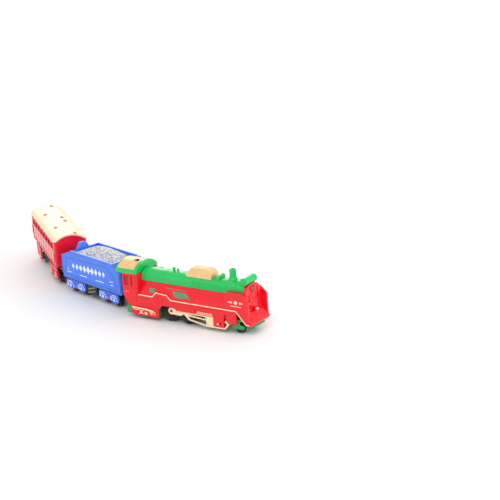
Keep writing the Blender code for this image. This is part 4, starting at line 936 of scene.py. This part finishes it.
truck = box(57.2, 61.8, -13.7, 13.7, 10.95, 12.2)
union(truck, *[prism([(52.8, 5.2), (54.0, 4.1), (65.2, 4.1), (66.0, 5.2), (66.0, 7.6), (61.0, 8.4), (60.9, 12.0), (58.1, 12.0), (58.0, 8.4), (52.8, 7.6)], "y", *ys(s, 12.5, 13.8)) for s in (-1, 1)])
minus(truck, rod("z", 5, 20, 2.15, 28, LEAD_X, 0))
relief = [truck]
for s in (-1, 1):
    relief.append(rod("y", *ys(s, 13.6, 14.15), 1.5, 28, LEAD_X, 6.0))
    relief.append(rod("y", *ys(s, 13.6, 14.3), 0.8, 20, LEAD_X, 6.0))
    relief.append(stroke([(53.6, 7.0), (53.6, 5.4), (54.4, 4.8), (64.8, 4.8), (65.3, 5.4), (65.3, 7.0)], 0.4, "y", *ys(s, 13.6, 14.0)))
finish_look(joined(relief), "leading_truck_frame_look", "green_chassis", "leading_truck", ["leading_truck_frame"], LOCO, 0.14, 2)

# ---- tender ---------------------------------------------------------------------------------------------------------

TENDER_SIDE = [(-50.0, 16.2), (-51.5, 39.5), (-33.0, 47.0), (38.6, 47.0), (51.0, 38.5), (50.5, 16.2)]
tender = prism(TENDER_SIDE, "y", -TENDER_HALF_W - 1, TENDER_HALF_W + 1)
combine(tender, prism(rounded_plan(-51.5, 51.0, TENDER_HALF_W, 2.4), "z", 5, 60), "INTERSECT")
union(tender, prism([(-6.6, 43.6), (6.6, 43.6), (6.5, 46.3), (6.2, 47.0), (3.3, 51.6), (2.6, 52.0), (-2.6, 52.0), (-3.3, 51.6), (-6.2, 47.0), (-6.5, 46.3)], "x", -38.8, -33.6))
minus(tender, box(-32.5, 37.0, -16.7, 16.7, 38.7, 60), prism([(-48.5, 10), (-49.8, 37.2), (49.2, 37.2), (49.0, 10)], "y", -16.8, 16.8))
minus(
    tender,
    prism(rounded(39.2, 46.8, -12.0, 12.0, 0.8), "z", 44.2, 60),
    prism([(-49.0, 44.4), (-35.4, 49.6), (-35.4, 60), (-49.0, 60)], "y", -16.9, -9.4),
    prism([(-49.0, 44.4), (-35.4, 49.6), (-35.4, 60), (-49.0, 60)], "y", 9.4, 16.9),
)
T_OUT = TENDER_HALF_W
relief = [tender]
RIM = [(-48.3, 17.6), (-49.8, 38.6), (-33.2, 44.9), (37.4, 44.9), (49.2, 37.4), (49.0, 17.6)]
for s in (-1, 1):
    relief.append(stroke(RIM, 0.7, "y", *ys(s, T_OUT - 0.1, T_OUT + 0.28), True))
    relief.append(stroke([(-33.3, 46.9), (33.0, 46.9)], 0.9, "y", *ys(s, T_OUT - 1.7, T_OUT + 0.06)))
    for k in range(12):
        x = -43.5 + 7.9 * k
        relief.append(turned([(s * (T_OUT - 0.1), 0.34), (s * (T_OUT + 0.2), 0.34), (s * (T_OUT + 0.34), 0.16)], "y", 10, x, 18.9))
    for x in (-49.8, 49.6):
        relief.append(rod("z", 20, 35, 0.42, 14, x, s * (T_OUT + 0.05)))
for y in (-11, 0, 11):
    relief.append(prism([(50.55, 19.0), (50.95, 37.5), (51.3, 37.4), (50.95, 19.0)], "y", y - 0.35, y + 0.35))
relief.append(turned([(44.0, 2.2), (44.8, 2.2), (45.0, 1.9), (45.1, 0.6)], "z", 28, 43.2, 5.0))
relief.append(turned([(44.0, 2.2), (44.8, 2.2), (45.0, 1.9), (45.1, 0.6)], "z", 28, 43.2, -5.0))
relief.append(stroke(circle(1.7, 40, -36.2, 0), 0.4, "z", 51.9, 52.25, True))
finish_look(joined(relief), "tender_body_look", "blue_body", "tender", ["tender_body"], TENDER, 0.22, 2)

RIDGE = [(-32.2, 44.6), (-26.0, 46.6), (-16.0, 50.4), (-7.0, 52.2), (1.0, 51.8), (10.0, 48.6), (20.0, 44.4), (28.0, 42.2), (36.7, 41.2)]


def ridge(x):
    for (x0, z0), (x1, z1) in zip(RIDGE, RIDGE[1:]):
        if x <= x1:
            t = (x - x0) / (x1 - x0)
            return z0 + (z1 - z0) * t
    return RIDGE[-1][1]


NX, NY = 150, 72
heap = bmesh.new()
grid = []
lumps = [(rng.uniform(-32, 36.5), rng.uniform(-16.4, 16.4), rng.uniform(0.9, 1.9), rng.uniform(0.25, 0.75)) for _ in range(620)]
buckets = {}
for lump in lumps:
    for i in range(int((lump[0] - 2.2 + 40) // 3), int((lump[0] + 2.2 + 40) // 3) + 1):
        buckets.setdefault(i, []).append(lump)
for i in range(NX + 1):
    x = -32.2 + 68.9 * i / NX
    base = sum(ridge(min(36.7, max(-32.2, x + d))) for d in (-3, -1.5, 0, 1.5, 3)) / 5
    rim = min(45.2, base - 0.6)
    row = []
    for j in range(NY + 1):
        q = -1 + 2 * j / NY
        y = 16.5 * q
        z = rim + (base - rim) * (1 - abs(q) ** 1.6)
        best = 0.0
        for lx, ly, lr, lh in buckets.get(int((x + 40) // 3), []):
            d2 = (x - lx) ** 2 + (y - ly) ** 2
            if d2 < lr * lr:
                best = max(best, lh * math.sqrt(1 - d2 / (lr * lr)))
        edge = min(1.0, (1 - abs(q)) * 8, (x + 32.2) * 0.8 + 0.15, (36.7 - x) * 0.8 + 0.15)
        row.append(heap.verts.new((x, y, z - 0.3 + best * max(0.1, edge) + rng.uniform(-0.05, 0.05))))
    grid.append(row)
for i in range(NX):
    for j in range(NY):
        heap.faces.new((grid[i][j], grid[i + 1][j], grid[i + 1][j + 1], grid[i][j + 1]))
under = [[heap.verts.new((-32.2 + 68.9 * i / NX, -16.5 + 33.0 * j / NY, 38.9)) for j in (0, NY)] for i in (0, NX)]
border = [grid[i][0] for i in range(NX + 1)] + [grid[NX][j] for j in range(1, NY + 1)] + [grid[i][NY] for i in range(NX - 1, -1, -1)] + [grid[0][j] for j in range(NY - 1, 0, -1)]
low = [heap.verts.new((v.co.x, v.co.y, 38.9)) for v in border]
for i in range(len(border)):
    j = (i + 1) % len(border)
    heap.faces.new((border[j], border[i], low[i], low[j]))
for row in under:
    for v in row:
        heap.verts.remove(v)
heap.faces.new(low[::-1])
bmesh.ops.recalc_face_normals(heap, faces=heap.faces)
mesh = bpy.data.meshes.new("coal")
heap.to_mesh(mesh)
heap.free()
coal = bpy.data.objects.new("coal", mesh)
bpy.context.scene.collection.objects.link(coal)
finish_look(coal, "coal_load_look", "coal", "tender", ["coal_load"], TENDER, 0, 2, 60)

marks = []
for s in (-1, 1):
    near, far = T_OUT - 0.05, T_OUT + 0.16
    marks.append(stroke([(-42.9, 38.9), (30.3, 41.4), (41.3, 32.1), (43.7, 19.4), (-44.8, 20.5)], 0.55, "y", *ys(s, near, far), True))
finish_look(joined(marks), "tender_line_look", "line_print", "tender", (), TENDER, 0.04, 1)
marks = []
for s in (-1, 1):
    near, far = T_OUT - 0.05, T_OUT + 0.18
    # plain ornament in place of the printed word: a row of graded lozenges with bars above and below
    for k in range(9):
        cx, size = -30.0 + 6.6 * k, 4.3 - 0.3 * abs(k - 4)
        cz = 32.0 + 0.02 * cx
        marks.append(prism([(cx + size * 0.72, cz), (cx, cz + size), (cx - size * 0.72, cz), (cx, cz - size)], "y", *ys(s, near, far)))
    for x0, x1, z in ((-19.5, -7.0, 23.2), (8.6, 22.3, 23.4), (-41.7, -33.8, 23.4), (-41.7, -38.0, 26.4), (33.0, 38.6, 27.0), (33.6, 38.0, 23.6)):
        marks.append(box(x0, x1, *ys(s, near, far), z, z + 0.75))
finish_look(joined(marks), "tender_print_look", "white_print", "tender", (), TENDER, 0.04, 1)


# ---- bogies ---------------------------------------------------------------------------------------------------------


def bogie_look(name, look, mark, spot, top):
    at = BOGIES[name]
    outline = [(-16.4, 7.6), (-14.8, 4.6), (-6, 4.2), (-4, 5.6), (4, 5.6), (6, 4.2), (14.8, 4.6), (16.4, 7.6), (16.4, top - 1.6), (15.4, top), (-15.4, top), (-16.4, top - 1.6)]
    body = union(box(-2.9, 2.9, -15.2, 15.2, 8.2, 10.2), rod("z", 7.9, 10.6, 3.6, 32), *[prism(outline, "y", *ys(s, 15.0, 16.3)) for s in (-1, 1)])
    minus(body, rod("z", 6, 12, 2.25, 28))
    parts, white, red = [body], [], []
    for s in (-1, 1):
        parts.append(stroke([(-15.7, 7.8), (-14.2, 5.2), (-6.3, 4.8), (-4.3, 6.2), (4.3, 6.2), (6.3, 4.8), (14.2, 5.2), (15.7, 7.8), (15.7, top - 1.7), (15.0, top - 0.6), (-15.0, top - 0.6), (-15.7, top - 1.7)], 0.5, "y", *ys(s, 16.2, 16.6), True))
        for x in (-BOGIE_AXLE, BOGIE_AXLE):
            parts.append(prism(rounded(x - 2.5, x + 2.5, 4.6, 9.4, 0.6), "y", *ys(s, 16.2, 16.9)))
            for n, (w, z) in enumerate(((5.2, 10.1), (4.3, 11.0), (3.4, 11.9))):
                leaf = [(x - w, z - 0.1), (x - w * 0.5, z + 0.28), (x, z + 0.4), (x + w * 0.5, z + 0.28), (x + w, z - 0.1), (x + w, z - 0.6), (x, z - 0.2), (x - w, z - 0.6)]
                parts.append(prism(leaf, "y", *ys(s, 16.2, 16.85)))
            white += [
                stroke([(x - 5.0, 10.2), (x, 10.6), (x + 5.0, 10.2)], 0.75, "y", *ys(s, 16.8, 17.0)),
                stroke([(x - 3.4, 12.1), (x, 12.5), (x + 3.4, 12.1)], 0.75, "y", *ys(s, 16.8, 17.0)),
                turned([(s * 16.8, 1.6), (s * 17.05, 1.55), (s * 17.2, 1.2)], "y", 28, x, 7.6),
                box(x - 5.0, x - 3.9, *ys(s, 16.4, 16.75), 6.0, 9.2),
                box(x + 3.9, x + 5.0, *ys(s, 16.4, 16.75), 6.0, 9.2),
                box(x - 6.6, x - 6.0, *ys(s, 16.4, 16.7), 6.4, 12.4),
            ]
        for x in (-1.4, 1.4):
            parts.append(rod("z", 7.0, 11.6, 0.9, 16, x, s * 16.5))
        parts.append(box(-4.4, 4.4, *ys(s, 16.2, 16.85), 11.4, 12.4))
        parts.append(box(-4.4, 4.4, *ys(s, 16.2, 16.85), 6.2, 7.2))
        red.append(prism([(-2.0, 6.2), (2.0, 6.2), (1.1, 9.6), (-1.1, 9.6)], "y", *ys(s, 16.8, 17.15)))
    body_name = name + "_bogie"
    finish_look(joined(parts), name + "_bogie_frame_look", look, body_name, [name + "_bogie_frame"], at, 0.12, 2)
    finish_look(joined(white), name + "_bogie_print_look", mark, body_name, (), at, 0.05, 1)
    finish_look(joined(red), name + "_bogie_brake_look", spot, body_name, (), at, 0.08, 1)


bogie_look("tender_front", "blue_body", "white_print", "red_body", 14.6)
bogie_look("tender_rear", "blue_body", "white_print", "red_body", 14.6)
bogie_look("coach_front", "red_body", "pink_print", "red_body", 17.6)
bogie_look("coach_rear", "red_body", "pink_print", "red_body", 17.6)

# ---- coach ----------------------------------------------------------------------------------------------------------

coach = prism(rounded_plan(-COACH_HALF_L, COACH_HALF_L, COACH_HALF_W, 2.0), "z", COACH_FLOOR_Z, COACH_EAVE_Z)
minus(coach, box(-62.0, 62.0, -16.05, 16.05, 10, 60))
WINDOWS = [-49.0 + 14.0 * k for k in range(8)]
for x in WINDOWS:
    minus(coach, prism(rounded(x - 4.2, x + 4.2, 39.3, 45.6, 0.8), "y", -20, 20))
COACH_R = (18.0**2 + 6.9**2) / (2 * 6.9)
COACH_CZ = 56.4 - COACH_R
lunette = [(15.2, 48.0), *roof_arc(COACH_R - 2.0, COACH_CZ, 15.2, 40), (-15.2, 48.0)]
union(coach, *[prism(lunette, "x", *ys(s, 62.0, COACH_HALF_L)) for s in (-1, 1)])
C_OUT = COACH_HALF_W
relief = [coach]
for s in (-1, 1):
    for x in WINDOWS:
        relief.append(stroke(rounded(x - 4.45, x + 4.45, 39.05, 45.85, 0.9), 0.5, "y", *ys(s, C_OUT - 0.9, C_OUT + 0.22), True))
        relief.append(box(x - 0.3, x + 0.3, *ys(s, C_OUT - 1.3, C_OUT - 0.5), 39.2, 45.7))
        relief.append(box(x - 4.3, x + 4.3, *ys(s, C_OUT - 1.3, C_OUT - 0.6), 42.9, 43.3))
    for k in range(9):
        x = -56.0 + 14.0 * k
        relief.append(box(x - 0.45, x + 0.45, *ys(s, C_OUT - 0.1, C_OUT + 0.2), 22.4, 48.6))
    for z, w in ((22.2, 0.8), (38.2, 0.6), (48.0, 0.9)):
        relief.append(box(-61.3, 61.3, *ys(s, C_OUT - 0.1, C_OUT + 0.28), z, z + w))
    for x in (-59.3, 59.3):
        relief.append(rod("z", 26.0, 37.0, 0.4, 14, x, s * (C_OUT + 0.35)))
        for z in (26.3, 36.7):
            relief.append(rod("y", *ys(s, C_OUT - 0.1, C_OUT + 0.4), 0.4, 12, x, z))
    for k in range(15):
        x = -56.0 + 8.0 * k
        relief.append(turned([(s * (C_OUT - 0.1), 0.28), (s * (C_OUT + 0.2), 0.28), (s * (C_OUT + 0.3), 0.12)], "y", 8, x, 24.2))
for e in (-1, 1):
    # the end wall: a plain gangway door in low relief, two panels and two buffer stubs
    for y0 in (-14.6, 6.6):
        relief.append(stroke(rounded(y0, y0 + 8.0, 24.4, 46.4, 0.8), 0.4, "x", *sorted((e * 63.4, e * 63.66)), True))
    relief.append(stroke(rounded(-5.2, 5.2, 23.6, 47.0, 1.0), 0.5, "x", *sorted((e * 63.3, e * 63.72)), True))
    for y in (-2.5, 2.5):
        relief.append(stroke(rounded(y - 1.7, y + 1.7, 35.5, 45.0, 0.5), 0.3, "x", *sorted((e * 63.4, e * 63.64)), True))
        relief.append(stroke(rounded(y - 1.7, y + 1.7, 24.8, 33.6, 0.5), 0.3, "x", *sorted((e * 63.4, e * 63.64)), True))
    relief.append(stroke([(15.4, 49.3), (-15.4, 49.3)], 0.5, "x", *sorted((e * 63.4, e * 63.68))))
    for s in (-1, 1):
        relief.append(turned([(e * 63.3, 1.4), (e * 63.8, 1.4), (e * 64.0, 1.0)], "x", 24, s * 11.5, 24.6))
finish_look(joined(relief), "coach_body_look", "red_body", "coach", ["coach_body"], COACH, 0.14, 2)

# painted shade: dark red sheets behind the window openings stand for the shade inside the coach
window_shade_sheets = []
for s in (-1, 1):
    window_shade_sheets.append(box(-61.5, 61.5, *ys(s, 15.55, 15.9), 38.5, 46.4))
finish_look(joined(window_shade_sheets), "coach_window_shade_look", "window_shade_red", "coach", (), COACH, 0.05, 1)

marks = []
for s in (-1, 1):
    near, far = C_OUT - 0.05, C_OUT + 0.17
    for z, w in ((37.0, 0.75), (27.4, 0.75)):
        marks.append(box(-60.8, 60.8, *ys(s, near, far), z, z + w))
    for k in range(8):
        x0, x1 = -54.6 + 14.0 * k, -43.4 + 14.0 * k
        marks.append(box(x0, x1, *ys(s, near, far), 33.9, 34.9))
        marks.append(box(x0, x1, *ys(s, near, far), 29.4, 30.4))
        cx = (x0 + x1) / 2
        marks.append(prism([(cx + 3.6, 32.15), (cx, 33.3), (cx - 3.6, 32.15), (cx, 31.0)], "y", *ys(s, near, far)))
finish_look(joined(marks), "coach_print_look", "pink_print", "coach", (), COACH, 0.04, 1)

roof = prism([(18.0, 49.5), *roof_arc(COACH_R, COACH_CZ, 17.95, 56), (-18.0, 49.5)], "x", -64.2, 64.2)
minus(roof, prism([(15.6, 45.0), *roof_arc(COACH_R - 1.7, COACH_CZ, 15.6, 40), (-15.6, 45.0)], "x", -70, 70))
parts, vents = [roof], []
VENTS = [(-56.5, 5.2), (-27.5, -8.0), (-6.5, 6.5), (9.0, 6.7), (28.0, -7.8), (59.5, 6.6)]
for x, y in VENTS:
    base = COACH_CZ + math.sqrt(COACH_R**2 - y * y)
    tilt = Matrix.Translation((x, y, base)) @ Matrix.Rotation(-math.asin(y / COACH_R), 4, "X")
    for piece in (
        prism(rounded(-2.5, 2.5, -1.9, 1.9, 0.5), "z", -0.8, 0.5),
        prism(rounded(-2.0, 2.0, -1.4, 1.4, 0.4), "z", 0.3, 1.05),
        *[box(-1.8, 1.8, y0, y0 + 0.35, 0.9, 1.2) for y0 in (-0.95, -0.17, 0.6)],
    ):
        vents.append(moved(piece, tilt))
finish_look(joined(vents), "coach_vents_look", "vent_gold", "coach", (), COACH, 0.10, 2)
for x in (-63.6, -42.0, -21.0, 0.0, 21.0, 42.0, 63.6):
    band = prism([(18.02, 49.9), *roof_arc(COACH_R + 0.14, COACH_CZ, 17.95, 56), (-18.02, 49.9)], "x", x - 0.45, x + 0.45)
    parts.append(minus(band, prism([(17.4, 45), *roof_arc(COACH_R - 0.3, COACH_CZ, 17.3, 40), (-17.4, 45)], "x", x - 3, x + 3)))
for s in (-1, 1):
    parts.append(box(-64.0, 64.0, *ys(s, 17.6, 18.15), 49.5, 50.1))
finish_look(joined(parts), "coach_roof_look", "coach_roof", "coach", ["coach_roof"], COACH, 0.12, 2)

# ---- underframes, drawbars and hidden works: the CAD pieces themselves, with rounded edges ----------------------------

KEPT = {
    "loco_chassis": "green_chassis", "battery_cover": "green_chassis", "battery_cover_screw": "steel", "shell_screw_front": "steel",
    "shell_screw_rear": "steel", "leading_truck_screw": "steel", "aa_battery": "battery", "battery_contact_front": "brass",
    "battery_contact_spring": "steel", "drive_motor": "steel", "axle_gear": "gear_white", "idler_gear": "gear_white",
    "motor_pinion": "brass", "drawbar_front": "black_plastic", "drawbar_rear": "black_plastic", "tender_floor": "black_plastic",
    "tender_screw": "steel", "coach_floor": "black_plastic",
}
for name, look in KEPT.items():
    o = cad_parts[name]
    o.data.materials.clear()
    o.data.materials.append(LOOK[look])
    weld = o.modifiers.new("one skin", "WELD")
    weld.merge_threshold = 1e-6
    b = o.modifiers.new("rounded edges", "BEVEL")
    b.width, b.segments, b.limit_method, b.angle_limit = 0.12 * MM, 2, "ANGLE", math.radians(34)
    b.use_clamp_overlap = True

# painted reflection: two olive streaks along the tank under the tender stand for its warm glint; and moulded ribs under
# the coach
under = []
for s in (-1, 1):
    for k, x in ((0, -10.6), (1, -11.0)):
        under.append(stroke([(x, 9.6 - 4.4 * k * 0.9), (2.4, 13.6 - 3.9 * k)], 0.75, "y", *ys(s, 15.8, 16.15)))
finish_look(joined(under), "tender_tank_glint_look", "tank_glint_olive", "tender", (), TENDER, 0.08, 1)
under = []
for s in (-1, 1):
    for k in range(6):
        x = -12.5 + 4.6 * k
        under.append(box(x - 0.4, x + 0.4, *ys(s, 14.4, 14.9), 10.6, 19.8))
finish_look(joined(under), "coach_tank_rib_look", "black_plastic", "coach", (), COACH, 0.10, 1)

# ---- room, light and camera -----------------------------------------------------------------------------------------

floor_mesh = bpy.data.meshes.new("floor")
floor_mesh.from_pydata([(-6, -6, 0), (6, -6, 0), (6, 6, 0), (-6, 6, 0)], [], [(0, 1, 2, 3)])
floor = bpy.data.objects.new("floor", floor_mesh)
bpy.context.scene.collection.objects.link(floor)
t = Tree("floor_paper")
t.link(t.mix(t.ramp(t.noise(3.0, 3.0), 0.4, 0.6, 0.0, 0.25), (0.90, 0.90, 0.905), (0.86, 0.86, 0.865)), t.shader.inputs["Base Color"])
t.shader.inputs["Roughness"].default_value = 0.75
t.shader.inputs["Specular IOR Level"].default_value = 0.2
t.bump([(t.noise(700.0, 3.0), 0.05)])
floor_mesh.materials.append(t.m)

world = bpy.data.worlds.new("soft room")
world.use_nodes = True
world.node_tree.nodes["Background"].inputs["Color"].default_value = (1.0, 1.0, 1.0, 1.0)
world.node_tree.nodes["Background"].inputs["Strength"].default_value = 0.90
bpy.context.scene.world = world


def softbox(name, at, to, width, depth, power, colour=(1, 1, 1)):
    data = bpy.data.lights.new(name, "AREA")
    data.shape, data.size, data.size_y, data.energy, data.color = "RECTANGLE", width, depth, power, colour
    obj = bpy.data.objects.new(name, data)
    bpy.context.scene.collection.objects.link(obj)
    obj.visible_camera = False
    obj.location = at
    obj.rotation_mode = "QUATERNION"
    obj.rotation_quaternion = (Vector(to) - Vector(at)).to_track_quat("-Z", "Y")
    return obj


softbox("key", (0.35, -0.95, 1.10), (0.0, 0.0, 0.02), 1.0, 0.8, 5.2)
softbox("back", (-1.57, 2.30, 1.21), (-0.03, 0.02, 0.03), 3.2, 1.6, 26.0)
softbox("front", (1.45, 0.25, 0.40), (0.0, 0.0, 0.03), 0.9, 0.7, 6.5)

camera_data = bpy.data.cameras.new("camera")
camera_data.sensor_width = 36.0
camera_data.lens = 1627.74 * 36.0 / 500.0
camera_data.clip_start, camera_data.clip_end = 0.05, 30.0
camera = bpy.data.objects.new("camera", camera_data)
bpy.context.scene.collection.objects.link(camera)
pitch, yaw, roll = 0.3062, -0.6015, -0.0656
forward = Vector((math.sin(yaw) * math.cos(pitch), math.cos(yaw) * math.cos(pitch), -math.sin(pitch)))
right = Vector((math.cos(yaw), -math.sin(yaw), 0.0))
up = right.cross(forward)
r2 = right * math.cos(roll) + up * math.sin(roll)
u2 = -right * math.sin(roll) + up * math.cos(roll)
place = Matrix((r2, u2, -forward)).transposed().to_4x4()
place.translation = (1.011882, -1.269173, 0.547034)
camera.matrix_world = place
bpy.context.scene.camera = camera
bpy.context.scene.view_settings.view_transform = "Standard"
